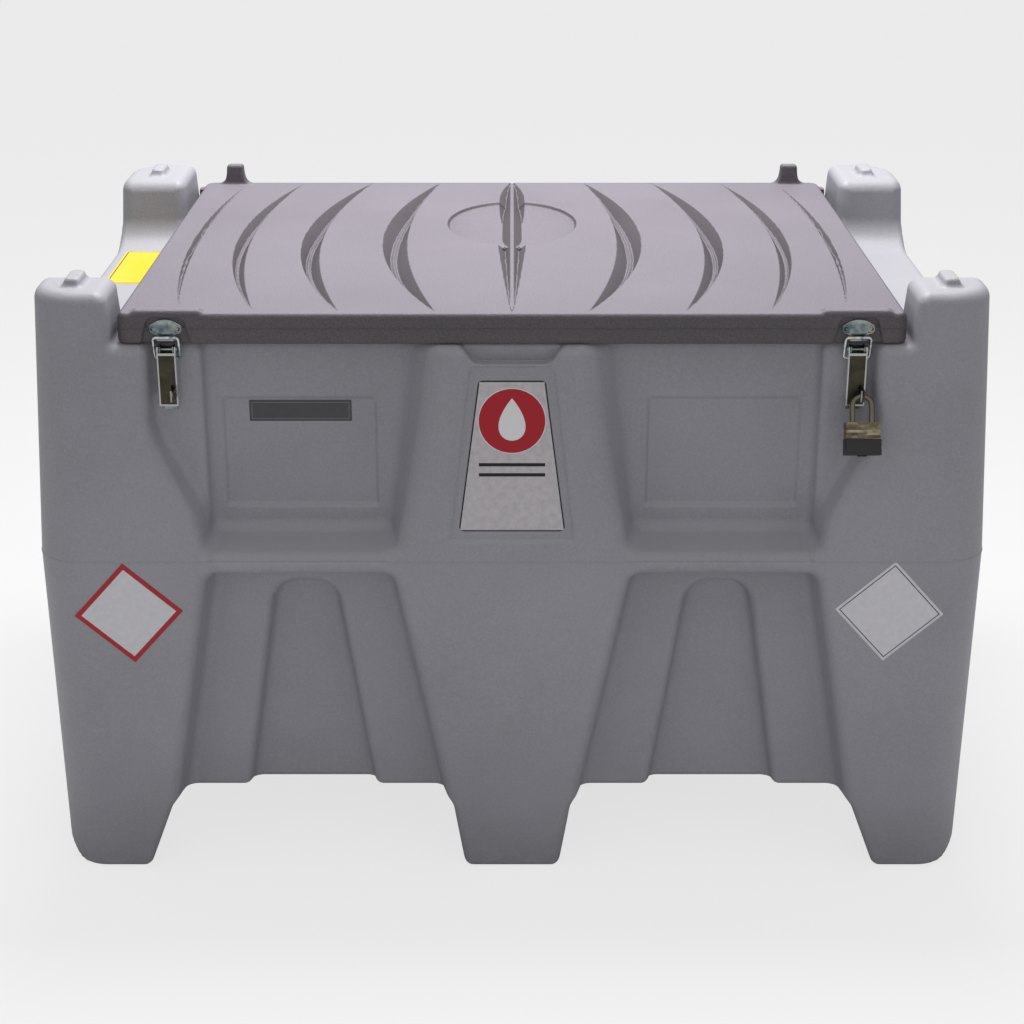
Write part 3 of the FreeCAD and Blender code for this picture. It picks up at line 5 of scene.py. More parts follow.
import bpy
import numpy as np
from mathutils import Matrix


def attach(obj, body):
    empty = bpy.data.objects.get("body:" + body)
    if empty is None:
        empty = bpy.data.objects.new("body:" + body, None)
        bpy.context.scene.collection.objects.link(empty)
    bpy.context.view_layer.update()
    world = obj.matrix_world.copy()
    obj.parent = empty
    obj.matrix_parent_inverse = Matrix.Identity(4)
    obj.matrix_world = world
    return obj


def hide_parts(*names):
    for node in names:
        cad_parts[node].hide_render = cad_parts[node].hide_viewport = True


bl_info = {
    "name": "Diesel Transfer Tank",
    "version": (1, 0, 0),
    "blender": (4, 5, 0),
    "location": "View3D > Sidebar > Tank",
    "description": "Moulded tank and lid, signs, latches, padlock and pump set around the packed frame",
    "category": "Object",
}

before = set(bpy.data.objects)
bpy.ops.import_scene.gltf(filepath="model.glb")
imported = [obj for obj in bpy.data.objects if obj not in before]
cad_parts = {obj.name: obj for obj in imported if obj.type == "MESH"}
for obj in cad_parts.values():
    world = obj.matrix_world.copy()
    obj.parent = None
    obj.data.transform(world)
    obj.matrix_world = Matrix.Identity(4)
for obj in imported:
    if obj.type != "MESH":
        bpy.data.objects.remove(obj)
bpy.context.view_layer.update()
MM = 0.001


# Implicit solids


def round_and(first, second, radius):
    """Intersection of two solids given by signed distances, with its edge rounded: the larger of the two,
    except that near the edge it is the length of (first + radius, second + radius) less the radius."""
    return (np.minimum(np.maximum(first, second), -radius)
            + np.hypot(np.maximum(first + radius, 0), np.maximum(second + radius, 0)))


def round_or(first, second, radius):
    """Union with a hollow fillet: the intersection rule with both signs turned."""
    return -round_and(-first, -second, radius)


def carve(solid, hollow, radius):
    """Solid less hollow, with the brim rounded."""
    return round_and(solid, -hollow, radius)


def line_side(u, v, start, end):
    """Distance to the left of the line from start to end in the (u, v) plane; negative on its right."""
    du, dv = end[0] - start[0], end[1] - start[1]
    return (du * (v - start[1]) - dv * (u - start[0])) / np.hypot(du, dv)


def smooth_step(low, high, at):
    """0 below low, 1 above high, and 3t^2 - 2t^3 between them."""
    t = np.clip((at - low) / (high - low), 0, 1)
    return t * t * (3 - 2 * t)


def net_over(field, axes):
    """Quads over the zero level of a field sampled on a box grid. Each cell that the level passes through
    gets one point, the mean of its edge crossings, and each grid edge that it crosses gets one quad."""
    grid = np.meshgrid(*axes, indexing="ij", sparse=True)
    values = field(*grid).astype(np.float32)
    inside = values < 0
    corners = [inside[i:inside.shape[0] - 1 + i, j:inside.shape[1] - 1 + j, k:inside.shape[2] - 1 + k]
               for i in (0, 1) for j in (0, 1) for k in (0, 1)]
    total = sum(corner.astype(np.int8) for corner in corners)
    cells = np.argwhere((total > 0) & (total < 8))
    number = np.full(total.shape, -1, np.int32)
    number[tuple(cells.T)] = np.arange(len(cells))
    sums = np.zeros((len(cells), 3))
    counts = np.zeros(len(cells))
    for axis in range(3):
        others = [a for a in range(3) if a != axis]
        for first in (0, 1):
            for second in (0, 1):
                start = cells.copy()
                start[:, others[0]] += first
                start[:, others[1]] += second
                end = start.copy()
                end[:, axis] += 1
                low, high = values[tuple(start.T)], values[tuple(end.T)]
                cut = (low < 0) != (high < 0)
                share = np.where(cut, low / np.where(cut, low - high, 1), 0)
                point = np.stack([axes[a][start[:, a]] for a in range(3)], 1).astype(float)
                point[:, axis] += share * (axes[axis][end[:, axis]] - axes[axis][start[:, axis]])
                sums += point * cut[:, None]
                counts += cut
    points = sums / counts[:, None]
    quads = []
    for axis in range(3):
        a, b = [(1, 2), (2, 0), (0, 1)][axis]
        low = np.take(inside, range(inside.shape[axis] - 1), axis)
        high = np.take(inside, range(1, inside.shape[axis]), axis)
        for flip in (False, True):
            edge = np.argwhere((low & ~high) if not flip else (~low & high))
            edge = edge[(edge[:, a] > 0) & (edge[:, b] > 0)
                        & (edge[:, a] < inside.shape[a] - 1) & (edge[:, b] < inside.shape[b] - 1)]
            ring = []
            for da, db in ((-1, -1), (0, -1), (0, 0), (-1, 0)):
                cell = edge.copy()
                cell[:, a] += da
                cell[:, b] += db
                ring.append(number[tuple(cell.T)])
            quad = np.stack(ring, 1)
            quads.append(quad[:, ::-1] if flip else quad)
    return points, np.concatenate(quads)


def slope_of(field, points, step=0.2):
    """The field's gradient by central differences."""
    parts = []
    for axis in range(3):
        shift = np.zeros(3)
        shift[axis] = step
        parts.append((field(*(points + shift).T) - field(*(points - shift).T)) / (2 * step))
    return np.stack(parts, 1)


def settle(field, points, rounds=4, reach=3.0):
    """Moves points onto the zero level along the gradient: a step is the field over the gradient's length."""
    for _ in range(rounds):
        slope = slope_of(field, points)
        size = np.maximum((slope ** 2).sum(1), 0.04)
        move = slope * (field(*points.T) / size)[:, None]
        length = np.linalg.norm(move, axis=1, keepdims=True)
        points = points - move * np.minimum(1, reach / np.maximum(length, 1e-9))
    return points


def axis_of(*runs):
    """Grid lines through runs of (start, end, step), each run ending where the next starts."""
    lines = []
    for start, end, step in runs:
        count = max(1, round((end - start) / step))
        lines.append(np.linspace(start, end, count, endpoint=False))
    return np.concatenate(lines + [[runs[-1][1]]])


def new_mesh(name, points, faces, smooth=True):
    """A mesh object from an array of points in metres and an array or list of faces."""
    mesh = bpy.data.meshes.new(name)
    faces = faces if isinstance(faces, list) else faces.tolist()
    mesh.from_pydata(np.asarray(points, float).tolist(), [], faces)
    mesh.update()
    mesh.polygons.foreach_set("use_smooth", np.full(len(mesh.polygons), smooth))
    piece = bpy.data.objects.new(name, mesh)
    bpy.context.scene.collection.objects.link(piece)
    return piece


def moulding(name, field, axes, limit):
    """A closed moulding over a field's zero level, thinned to the triangle limit where it is flat."""
    points, quads = net_over(field, axes)
    points = settle(field, points, 2)
    piece = new_mesh(name, points * MM, quads)
    triangles = 2 * len(quads)
    if triangles > limit:
        thin = piece.modifiers.new("thin", "DECIMATE")
        thin.ratio = limit / triangles
        bpy.context.view_layer.objects.active = piece
        bpy.ops.object.modifier_apply(modifier=thin.name)
    count = len(piece.data.vertices)
    place = np.empty(count * 3)
    piece.data.vertices.foreach_get("co", place)
    place = settle(field, place.reshape(-1, 3) / MM, 2, 1.0)
    piece.data.vertices.foreach_set("co", (place * MM).ravel())
    piece.data.polygons.foreach_set("use_smooth", np.ones(len(piece.data.polygons), bool))
    slope = slope_of(field, place, 0.4)
    slope /= np.maximum(np.linalg.norm(slope, axis=1, keepdims=True), 1e-9)
    piece.data.normals_split_custom_set_from_vertices(slope.tolist())
    piece.data.update()
    return piece


# The tank's form, in millimetres

HALF_LONG, HALF_WIDE = 600.0, 400.0
PARTING, POST_TOP, DECK, SADDLE, BELLY = 442.0, 784.0, 719.0, 688.0, 98.0
CORNER = 58.0
TOP_DRAFT, FOOT_DRAFT = 16, 4
PANEL_DEEP, FIELD_DEEP, PAD_DEEP, BAY_DEEP, ARCH_DEEP, PLATE_DEEP = 56, 61, 38, 48, 72, 4
COLUMN_X, PANEL_X = 388, 264.5
PANEL_LOW, PANEL_RISE = 447, 286
BAY_TOP, ARCH_X, ARCH_TOP = 425, 265, 398
WELL_X, WELL_Y, WELL_FLOOR = 390, 252, 535
PAD_TOP, PAD_X, PAD_FRONT, PAD_REAR = 795, 534, -330, 308


def wall_lean(z):
    """How far the walls lean in at height z: up to TOP_DRAFT at the posts' tops, FOOT_DRAFT at the ground."""
    return np.where(z > PARTING, TOP_DRAFT * (z - PARTING) / (POST_TOP - PARTING),
                    FOOT_DRAFT * (PARTING - z) / PARTING)


def rounded_box(across, along, corner):
    """Signed distance to upright walls with round corners, from the distances past the corners' centres."""
    return (np.minimum(np.maximum(across, along), 0)
            + np.hypot(np.maximum(across, 0), np.maximum(along, 0)) - corner)


def outer_form(x, y, z):
    """A box with round upright corners whose sides lean in above the parting line and a little below it."""
    lean = wall_lean(z)
    straight = CORNER + lean
    walls = rounded_box(np.abs(x) - (HALF_LONG - straight), np.abs(y) - (HALF_WIDE - straight), CORNER)
    walls = round_and(walls, z - POST_TOP, 15)
    sole = np.abs(x) - (HALF_LONG - lean)
    return np.maximum(round_and(walls, -z, 7), round_and(sole, -z, 44))


def bay(x, y, z):
    """The room between the posts for the lid, above the deck."""
    side = np.abs(x) - (486 + 4 * (z - DECK) / 65)
    return round_and(side, DECK - z, 6) + 0 * y


def saddles(x, y, z):
    """The two lower ends between the front and rear posts, outside the deck's curb."""
    lean = 11 * (POST_TOP - z) / (POST_TOP - SADDLE)
    front = (-289 + lean) - y
    rear = y - (254 - lean)
    room = round_and(np.maximum(front, rear), SADDLE - z, 42)
    return round_and(room, 470 - np.abs(x), 5)


def upper_panel(x, y, z):
    """One of four sloping panels: an upright outer edge, a slanting inner edge that turns with depth, and a
    ledge below."""
    across, depth = np.abs(x), HALF_WIDE - np.abs(y)
    t = np.clip(depth / PANEL_DEEP, -0.3, 1.2)
    left = across - (COLUMN_X - 10 * t)
    high = np.clip((z - PANEL_LOW) / PANEL_RISE, -0.3, 1.2)
    right = (146 - 73 * high) + t * (12 + 46 * high) - across
    low = (PANEL_LOW + 22 * t) - z
    walls = round_and(round_and(left, low, 16), right / 1.15, 16)
    return round_and(walls, depth - PANEL_DEEP, 13)


def panel_field(x, y, z):
    """The shallow rectangle in each upper panel, its walls sloping 45 degrees."""
    across, depth = np.abs(x), HALF_WIDE - np.abs(y)
    in_by = np.clip(depth - PANEL_DEEP, -2, 8)
    sides = round_and(np.abs(across - PANEL_X) - (97.5 - in_by), np.abs(z - 569) - (74 - in_by), 5)
    return round_and(sides, depth - FIELD_DEEP, 1.0)


def latch_pad(x, y, z):
    """The sunk pad behind each latch: an upright outer edge and a slanting lower edge down to a point."""
    across, depth = np.abs(x), HALF_WIDE - np.abs(y)
    t = np.clip(depth / PAD_DEEP, -0.3, 1.2)
    outer = across - (450 - 10 * t)
    slant = line_side(across, z, (386 - 6 * t, 466 + 30 * t), (450, 612 + 20 * t))
    walls = round_and(outer, -slant, 12)
    walls = np.maximum(walls, 380 - across)
    return round_and(walls, depth - PAD_DEEP, 9)


def lower_bay(x, y, z):
    """One of four lower recesses, wider at the belly than at its top."""
    across, depth = np.abs(x), HALF_WIDE - np.abs(y)
    t = np.clip(depth / BAY_DEEP, -0.3, 1.2)
    fall = (BAY_TOP - z) / (BAY_TOP - BELLY)
    outer = across - (387 + 56 * fall - 12 * t)
    inner = (147 - 66 * fall + 12 * t) - across
    top = z - (BAY_TOP - 6 * t)
    walls = round_and(round_and(outer, top, 14), inner, 14)
    return round_and(walls, depth - BAY_DEEP, 11)


def arch_groove(x, y, z):
    """The deeper groove in each lower recess, straight sided below its round shoulders."""
    across, depth = np.abs(np.abs(x) - ARCH_X), HALF_WIDE - np.abs(y)
    side = across - (44 + 42 * (376 - z) / 278)
    walls = round_and(side, z - ARCH_TOP, 30)
    t = np.clip((depth - BAY_DEEP) / (ARCH_DEEP - BAY_DEEP), -0.3, 1.2)
    return round_and(walls + 7 * t, depth - ARCH_DEEP, 8)


def under_channels(x, y, z):
    """Two channels from front to back and one from end to end under the belly."""
    rise = z / BELLY
    across = np.abs(x)
    forks = np.maximum((65 + 14 * rise) - across, across - (482 - 37 * rise))
    forks = round_and(forks + 0 * y, z - BELLY, 14)
    ends = round_and(np.abs(y) - (315 - 15 * rise) + 0 * x, z - BELLY, 14)
    return np.minimum(forks, ends)


def pillar_notch(x, y, z):
    """The notch between the two ears on top of each middle pillar."""
    walls = round_and(np.abs(x) - (46 + 12 * (z - 697) / 17), 697 - z, 7)
    return np.maximum(walls, 372 - np.abs(y))


def pump_well(x, y, z):
    """The equipment well under the lid."""
    walls = rounded_box(np.abs(x) - WELL_X, np.abs(y) - WELL_Y, 40)
    return round_and(walls, WELL_FLOOR - z, 18)


def plate_field(x, y, z):
    """The shallow field for the front plate, level with the leaning wall, its walls sloping 45 degrees."""
    depth = HALF_WIDE - TOP_DRAFT * (z - PARTING) / (POST_TOP - PARTING) + y
    in_by = np.clip(depth, -2, 6)
    half = 79 - 26 * (z - 468) / 226 - in_by
    sides = round_and(np.abs(x) - half, np.abs(z - 581) - (114 - in_by), 4)
    return round_and(np.maximum(sides, y), depth - PLATE_DEEP, 1.0)


def nubs(x, y, z):
    """A small tapered pad on top of each post."""
    rise = (z - POST_TOP) * 0.32
    front = np.abs(y - PAD_FRONT) - 26 + rise
    rear = np.abs(y - PAD_REAR) - 26 + rise
    side = np.abs(np.abs(x) - PAD_X) - 12 + rise
    foot = round_and(np.minimum(front, rear), side, 6)
    return np.maximum(round_and(foot, z - PAD_TOP, 3), POST_TOP - 10 - z)


def tank_form(x, y, z):
    """The whole moulding: the outer form less its recesses, plus the pads on the posts."""
    form = outer_form(x, y, z)
    form = carve(form, upper_panel(x, y, z), 14)
    form = carve(form, panel_field(x, y, z), 1.5)
    form = carve(form, latch_pad(x, y, z), 10)
    form = carve(form, lower_bay(x, y, z), 12)
    form = carve(form, arch_groove(x, y, z), 8)
    form = carve(form, under_channels(x, y, z), 9)
    form = carve(form, bay(x, y, z), 14)
    brim = 8 + 10 * smooth_step(SADDLE + 8, SADDLE + 40, z)
    form = carve(form, saddles(x, y, z), brim)
    form = carve(form, pillar_notch(x, y, z), 6)
    form = carve(form, plate_field(x, y, z), 1.0)
    form = carve(form, pump_well(x, y, z), 10)
    return round_or(form, nubs(x, y, z), 5)


# The lid's form, in millimetres

LID_LOW, LID_TOP = 719.3, 757.3
LID_HALF, LID_FRONT, LID_DEEP, LID_CORNER = 480, -378, 750, 16
LATCH_X, LAND_X, LUG_X, KEEPER_Z = 420, 418, 427, 738
TROUGHS = (
    # rear tip, front tip, outer belly, inner belly, half length
    (109.0, 92.0, 178.0, 144.0, 368.0),
    (214.0, 210.0, 288.0, 261.0, 366.0),
    (321.0, 315.0, 378.0, 359.0, 360.0),
    (411.0, 409.0, 439.0, 430.0, 338.0),
)


def arc_x(y, rear, front, belly, reach):
    """The x of a flat arc through two tips: the chord between them plus belly times 1 - (y / reach)^2."""
    chord = (rear + front) / 2 + (rear - front) / 2 * y / reach
    return chord + (belly - (rear + front) / 2) * (1 - (y / reach) ** 2)


def trough_depth(across, y, rear, front, outer, inner, reach):
    """Depth of one curved trough: from its outer arc a wall falls to a narrow floor and another climbs to its
    inner arc. The floor lies nearer the inner arc at the rear and nearer the outer arc at the front."""
    out = arc_x(y, rear, front, outer, reach)
    within = arc_x(y, rear, front, inner, reach)
    wide = np.maximum(out - within, 0.01) * (np.abs(y) < reach)
    share = np.clip((out - across) / np.maximum(wide, 0.01), -1, 2)
    middle = 0.50 + 0.20 * np.tanh(y / 160)
    floor = 0.13
    fall = share / (middle - floor)
    climb = (1 - share) / (1 - middle - floor)
    deepest = np.minimum(14.5, 0.55 * wide)
    profile = np.clip(np.minimum(fall, climb), 0, 1)
    ridge = 0.18 * np.maximum(0, 1 - np.abs(share - middle) / floor)
    return deepest * (profile - ridge * (profile > 0.98))


def lid_top(x, y):
    """Height of the lid's top: four pairs of curved troughs, an oval dish and the hollows along the spine."""
    across = np.abs(x)
    sunk = np.zeros(np.broadcast(across, y).shape)
    for trough in TROUGHS:
        sunk = np.maximum(sunk, trough_depth(across, y, *trough))
    oval = np.sqrt((x / 92) ** 2 + ((y - 100) / 132) ** 2)
    dish = 15 * np.maximum(1 - oval ** 2, 0) ** 0.9 + 2.5 * smooth_step(1.0, 0.97, oval)
    rear = np.clip((y - 2) / 372, 0, 1)
    half_rear = 19 * np.sin(math.pi * rear ** 1.5) ** 0.85
    front = np.clip((y + 372) / 344, 0, 1) * (y < -28)
    half_front = 19.5 * front ** 0.8
    half = np.maximum(half_rear, half_front)
    hollow = np.minimum(15, np.maximum(half - across, 0)) + np.where(half > across, dish, 0)
    sunk = np.maximum(sunk, np.maximum(dish, hollow))
    level = 0.6 + 1.6 * smooth_step(330, 366, np.abs(y))
    spine = level + 1.4 * np.maximum(across - 2.4, 0)
    return LID_TOP - np.where((across < 14) & (np.abs(y) < 370), np.minimum(sunk, spine), sunk)


def lid_form(x, y, z):
    """The lid: a slab with soft upright corners, the top's relief, raised lands over the latches, and hollows
    in the front edge for the keepers."""
    half = LID_HALF - 5 * (y - LID_FRONT) / LID_DEEP
    walls = rounded_box(np.abs(x) - (half - LID_CORNER),
                        np.abs(y - LID_FRONT - LID_DEEP / 2) - (LID_DEEP / 2 - LID_CORNER), LID_CORNER)
    walls = walls + 0.06 * np.maximum(z - 739, 0)
    land = smooth_step(47, 36, np.abs(np.abs(x) - LAND_X)) * smooth_step(-350, -362, y)
    top = (z - lid_top(x, y) - 4 * land) * 0.72
    form = round_and(walls, top, 6)
    form = round_and(form, LID_LOW - z, 5)
    hollow = round_and(np.abs(np.abs(x) - LATCH_X) - (30 - 0.25 * (z - DECK)), z - 752, 8)
    hollow = round_and(hollow, y + 372, 2)
    return carve(form, hollow, 4)


def lugs_form(x, y, z):
    """The two upright lugs at the lid's rear edge, each with a spreading foot."""
    flare = 9 * np.exp(-(z - 757) / 5.0)
    side = np.abs(np.abs(x) - LUG_X) - (14 - 0.06 * (z - 757) + flare)
    deep = np.abs(y - 363) - np.minimum(9 - 0.02 * (z - 757) + flare, 9)
    return round_and(round_and(side, deep, 4), z - 786.5, 4)


def whole_lid(x, y, z):
    """The lid with its lugs."""
    return round_or(lid_form(x, y, z), lugs_form(x, y, z), 3)


# Shader maths


class Sock:
    """A shader socket or a number, with Python's operators adding Math nodes."""

    def __init__(self, tree, out):
        self.tree, self.out = tree, out

    def _math(self, operation, *values):
        node = self.tree.nodes.new("ShaderNodeMath")
        node.operation = operation
        for socket, value in zip(node.inputs, values):
            plug(self.tree, socket, value)
        return Sock(self.tree, node.outputs[0])

    def __add__(self, other):
        return self._math("ADD", self, other)

    __radd__ = __add__

    def __mul__(self, other):
        return self._math("MULTIPLY", self, other)

    __rmul__ = __mul__

    def __sub__(self, other):
        return self._math("SUBTRACT", self, other)

    def __rsub__(self, other):
        return self._math("SUBTRACT", other, self)

    def __truediv__(self, other):
        return self._math("DIVIDE", self, other)

    def __abs__(self):
        return self._math("ABSOLUTE", self)

    def __pow__(self, other):
        return self._math("POWER", self, other)

    def whole(self):
        return self._math("FLOOR", self)

    def least(self, other):
        return self._math("MINIMUM", self, other)

    def most(self, other):
        return self._math("MAXIMUM", self, other)

    def above(self, other):
        return self._math("GREATER_THAN", self, other)


def plug(tree, socket, value):
    if isinstance(value, Sock):
        tree.links.new(value.out, socket)
    elif value is not None:
        socket.default_value = value


class Finish:
    """A node material being written: its principled shader, and one method that adds any other node."""

    def __init__(self, name, color, roughness, metallic=0.0, **fixed):
        self.material = bpy.data.materials.new(name)
        self.material.use_nodes = True
        self.tree = self.material.node_tree
        self.shader = self.tree.nodes["Principled BSDF"]
        self.set("Base Color", color + (1.0,) if len(color) == 3 else color)
        self.set("Roughness", roughness)
        self.set("Metallic", metallic)
        for socket, value in fixed.items():
            self.set(socket.replace("_", " "), value)
        self.place = self.node("ShaderNodeTexCoord", {}, {}, "Object")

    def set(self, socket, value):
        plug(self.tree, self.shader.inputs[socket], value)

    def node(self, kind, settings, inputs, output=0):
        made = self.tree.nodes.new(kind)
        for key, value in settings.items():
            if key == "stops":
                ramp = made.color_ramp
                for index, (at, color) in enumerate(value):
                    stop = ramp.elements[index] if index < 2 else ramp.elements.new(at)
                    stop.position, stop.color = at, color
            else:
                setattr(made, key, value)
        for key, value in inputs.items():
            plug(self.tree, made.inputs[key], value)
        return Sock(self.tree, made.outputs[output])

    def noise(self, scale, detail=2.0, roughness=0.5, where=None):
        return self.node("ShaderNodeTexNoise", {}, {"Vector": where or self.place, "Scale": scale,
                                                    "Detail": detail, "Roughness": roughness}, "Fac")

    def ramp(self, value, *stops):
        return self.node("ShaderNodeValToRGB", {"stops": stops}, {"Fac": value}, "Color")

    def mix(self, factor, first, second):
        made = self.tree.nodes.new("ShaderNodeMix")
        made.data_type = "RGBA"
        plug(self.tree, made.inputs[0], factor)
        for index, color in ((6, first), (7, second)):
            plug(self.tree, made.inputs[index], color + (1.0,) if isinstance(color, tuple) and len(color) == 3
                 else color)
        return Sock(self.tree, made.outputs[2])

    def xyz(self):
        made = self.tree.nodes.new("ShaderNodeSeparateXYZ")
        plug(self.tree, made.inputs[0], self.place)
        return [Sock(self.tree, out) for out in made.outputs]

    def upward(self, low, high):
        """0 where the surface's own normal leans more than low says, 1 where it points up."""
        normal = self.node("ShaderNodeTexCoord", {}, {}, "Normal")
        up = self.node("ShaderNodeSeparateXYZ", {}, {0: normal}, "Z")
        return ((up - low) / (high - low)).most(0.0).least(1.0)

    def bump(self, height, strength, distance):
        inputs = {"Height": height, "Strength": strength, "Distance": distance}
        self.set("Normal", self.node("ShaderNodeBump", {}, inputs, "Normal"))


def srgb(red, green, blue):
    """Linear colour of an 8-bit screen colour."""
    return tuple((c / 255 / 12.92) if c / 255 <= 0.04045 else ((c / 255 + 0.055) / 1.055) ** 2.4
                 for c in (red, green, blue))


def ink(red, green, blue):
    """The same with alpha 1, for a ramp's stop."""
    return srgb(red, green, blue) + (1.0,)


def give(piece, finish):
    piece.data.materials.clear()
    piece.data.materials.append(finish)


COLORS = {
    "tank": (156, 155, 163),
    # The next colour is painted light: the lighter tone that the tank's surfaces facing up are given.
    "tank_top_lit": (182, 181, 188),
    "lid": (92, 86, 92),
    # The next colour is painted light: the lighter tone that the lid's surfaces facing up are given, against
    # darker steep walls.
    "lid_top_lit": (130, 124, 134),
    "sign_white": (218, 216, 222),
    "sign_red": (176, 22, 40),
    "sign_black": (24, 23, 26),
    "sign_yellow": (246, 214, 40),
    "foil": (196, 191, 197),
    "strip": (74, 72, 78),
    "strip_line": (126, 124, 130),
    "disc_rim": (224, 222, 228),
    "drop": (232, 230, 234),
    "zinc": (158, 166, 166),
    "wire": (222, 224, 226),
    "shackle_steel": (112, 106, 92),
    "skirt_rubber": (30, 28, 30),
    "black_plastic": (40, 39, 41),
    "cast_housing": (86, 88, 90),
    "motor_paint": (44, 46, 48),
    "galvanised_pipe": (150, 152, 150),
    "cast_alloy": (172, 172, 170),
    "filler_cap": (150, 24, 28),
    "rocker": (150, 28, 26),
}
LOCK_X = 426.8
LOCK_TOP = (-388.0, 657.1)
LOCK_LEAN = math.radians(22)


def picked(name):
    """One of the colours that the user may change."""
    return tuple(getattr(bpy.context.scene.tank_colors, name))


def shade(color, factor):
    """The colour times a factor, with alpha 1."""
    return tuple(min(1.0, part * factor) for part in color) + (1.0,)


def tank_finish():
    """Moulded polyethylene: cloudy tone, orange peel, painted light on the surfaces that face up, and darker
    streaks near the ground.
    """
    body, top_lit = picked("tank"), picked("tank_top_lit")
    made = Finish("tank plastic", body, 0.46)
    cloud = made.noise(4.0, 4.0, 0.55)
    fine = made.noise(330.0, 2.0, 0.6)
    mottle = cloud * 0.55 + fine * 0.45
    # Painted light: surfaces that face up take the lighter top colour and the walls keep the body colour,
    # standing in for light from overhead.
    toned = made.mix(made.upward(0.15, 0.95),
                     made.ramp(mottle, (0.30, shade(body, 0.84)), (0.70, shade(body, 1.12))),
                     made.ramp(mottle, (0.30, shade(top_lit, 0.94)), (0.70, shade(top_lit, 1.05))))
    z = made.xyz()[2]
    streak = made.noise(30.0, 4.0, 0.7)
    low = made.node("ShaderNodeMapRange", {}, {"Value": z, "From Min": 0.0, "From Max": 0.10, "To Min": 1.0,
                                               "To Max": 0.0}, "Result")
    # Darker in streaks towards the ground, over the lowest 10 cm.
    darker_low = made.mix(low * streak * 0.55, toned, shade(body, 0.55))
    made.set("Base Color", darker_low)
    made.set("Roughness", 0.46 + (cloud - 0.5) * 0.12)
    peel = made.noise(420.0, 2.0, 0.5)
    soft = made.noise(110.0, 2.0, 0.5)
    made.bump(peel * 0.5 + soft * 0.5, 0.45, 0.0012)
    return made.material


def lid_finish():
    """The lid's darker, grainier plastic, with painted light where it faces up and painted shade on its steep
    walls.
    """
    body, top_lit = picked("lid"), picked("lid_top_lit")
    made = Finish("lid plastic", body, 0.60)
    cloud = made.noise(5.0, 3.0, 0.5)
    grain = made.noise(560.0, 2.0, 0.7)
    mottle = grain * 0.8 + cloud * 0.2
    # Painted light and shade: faces within about 45 degrees of up take the lighter top colour, and steeper
    # walls keep the darker body colour.
    made.set("Base Color", made.mix(
        made.upward(0.72, 0.985),
        made.ramp(mottle, (0.28, shade(body, 0.66)), (0.50, shade(body, 0.95)), (0.74, shade(body, 1.35))),
        made.ramp(mottle, (0.28, shade(top_lit, 0.70)), (0.50, shade(top_lit, 1.0)), (0.74, shade(top_lit, 1.34)))))
    soft = made.noise(190.0, 2.0, 0.5)
    made.bump(grain * 0.55 + soft * 0.45, 0.65, 0.0014)
    return made.material


def plain_finish(name, roughness, metallic, grain, rough_grain, tone=0.12, **fixed):
    """Fine grain, cloudy tone and uneven gloss, for plastics, paints, castings and plated metals."""
    color = picked(name)
    made = Finish(name.replace("_", " "), color, roughness, metallic, **fixed)
    cloud = made.noise(38.0, 4.0, 0.6)
    fine = made.noise(grain, 2.0, 0.6)
    made.set("Base Color", made.ramp(cloud * 0.6 + fine * 0.4, (0.30, shade(color, 1 - tone)),
                                     (0.70, shade(color, 1 + tone))))
    made.set("Roughness", roughness + (cloud - 0.5) * 0.2)
    made.bump(fine, rough_grain, 0.0005)
    return made.material


def zinc_finish(name="zinc plate", color="zinc"):
    """Bright zinc plate with a faint yellow and blue cast that drifts over it."""
    tint = picked(color)
    made = Finish(name, tint, 0.3, 1.0)
    drift = made.noise(55.0, 3.0, 0.6)
    fine = made.noise(700.0, 2.0, 0.5)
    made.set("Base Color", made.ramp(drift, (0.35, ink(104, 120, 126)), (0.5, tint + (1.0,)),
                                     (0.66, ink(186, 178, 150))))
    made.set("Roughness", 0.16 + drift * 0.2)
    made.bump(fine, 0.15, 0.0003)
    return made.material


def lever_finish(middle):
    """The lever: a dark, oil-brown pressed face inside bright edges, worn and with a painted highlight."""
    made = Finish("lever face", srgb(70, 66, 56), 0.34, 0.75)
    x, y, z = made.xyz()
    edge = abs(x - middle).most(abs(z - 0.675) - 0.0212)
    face = edge.above(0.0098)
    off = y.above(-0.3795)
    drift = made.noise(60.0, 3.0, 0.6)
    # The face's rim and the lever's sides are painted bright: wear, with a painted highlight along the edges.
    wear_and_highlight = face.most(off)
    dark = made.ramp(drift, (0.3, ink(58, 54, 46)), (0.7, ink(84, 79, 66)))
    made.set("Base Color", made.mix(wear_and_highlight, dark, srgb(206, 208, 206)))
    made.set("Roughness", 0.36 - wear_and_highlight * 0.12)
    fine = made.noise(600.0, 2.0, 0.6)
    made.bump(fine, 0.2, 0.0003)
    return made.material


def plates_finish():
    """The padlock's laminated case: oil-brown steel plates, each with its own tone. A plate's number is the
    whole part of the height along the leaning case over the plate's thickness."""
    made = Finish("lock plates", srgb(92, 84, 68), 0.42, 0.9)
    x, y, z = made.xyz()
    height = (z - LOCK_TOP[1] * MM) * math.cos(LOCK_LEAN) + (y - LOCK_TOP[0] * MM) * math.sin(LOCK_LEAN)
    plate = (height / 0.0032).whole()
    where = made.node("ShaderNodeCombineXYZ", {}, {"X": plate * 3.7, "Y": x * 20.0, "Z": 0.0})
    tone = made.noise(1.0, 2.0, 0.5, where) * 0.7 + made.noise(160.0, 3.0, 0.6) * 0.3
    made.set("Base Color", made.ramp(tone, (0.32, ink(58, 52, 42)), (0.5, ink(112, 102, 82)),
                                     (0.66, ink(184, 174, 148))))
    made.set("Roughness", 0.22 + tone * 0.25)
    made.bump(tone, 0.2, 0.0003)
    return made.material


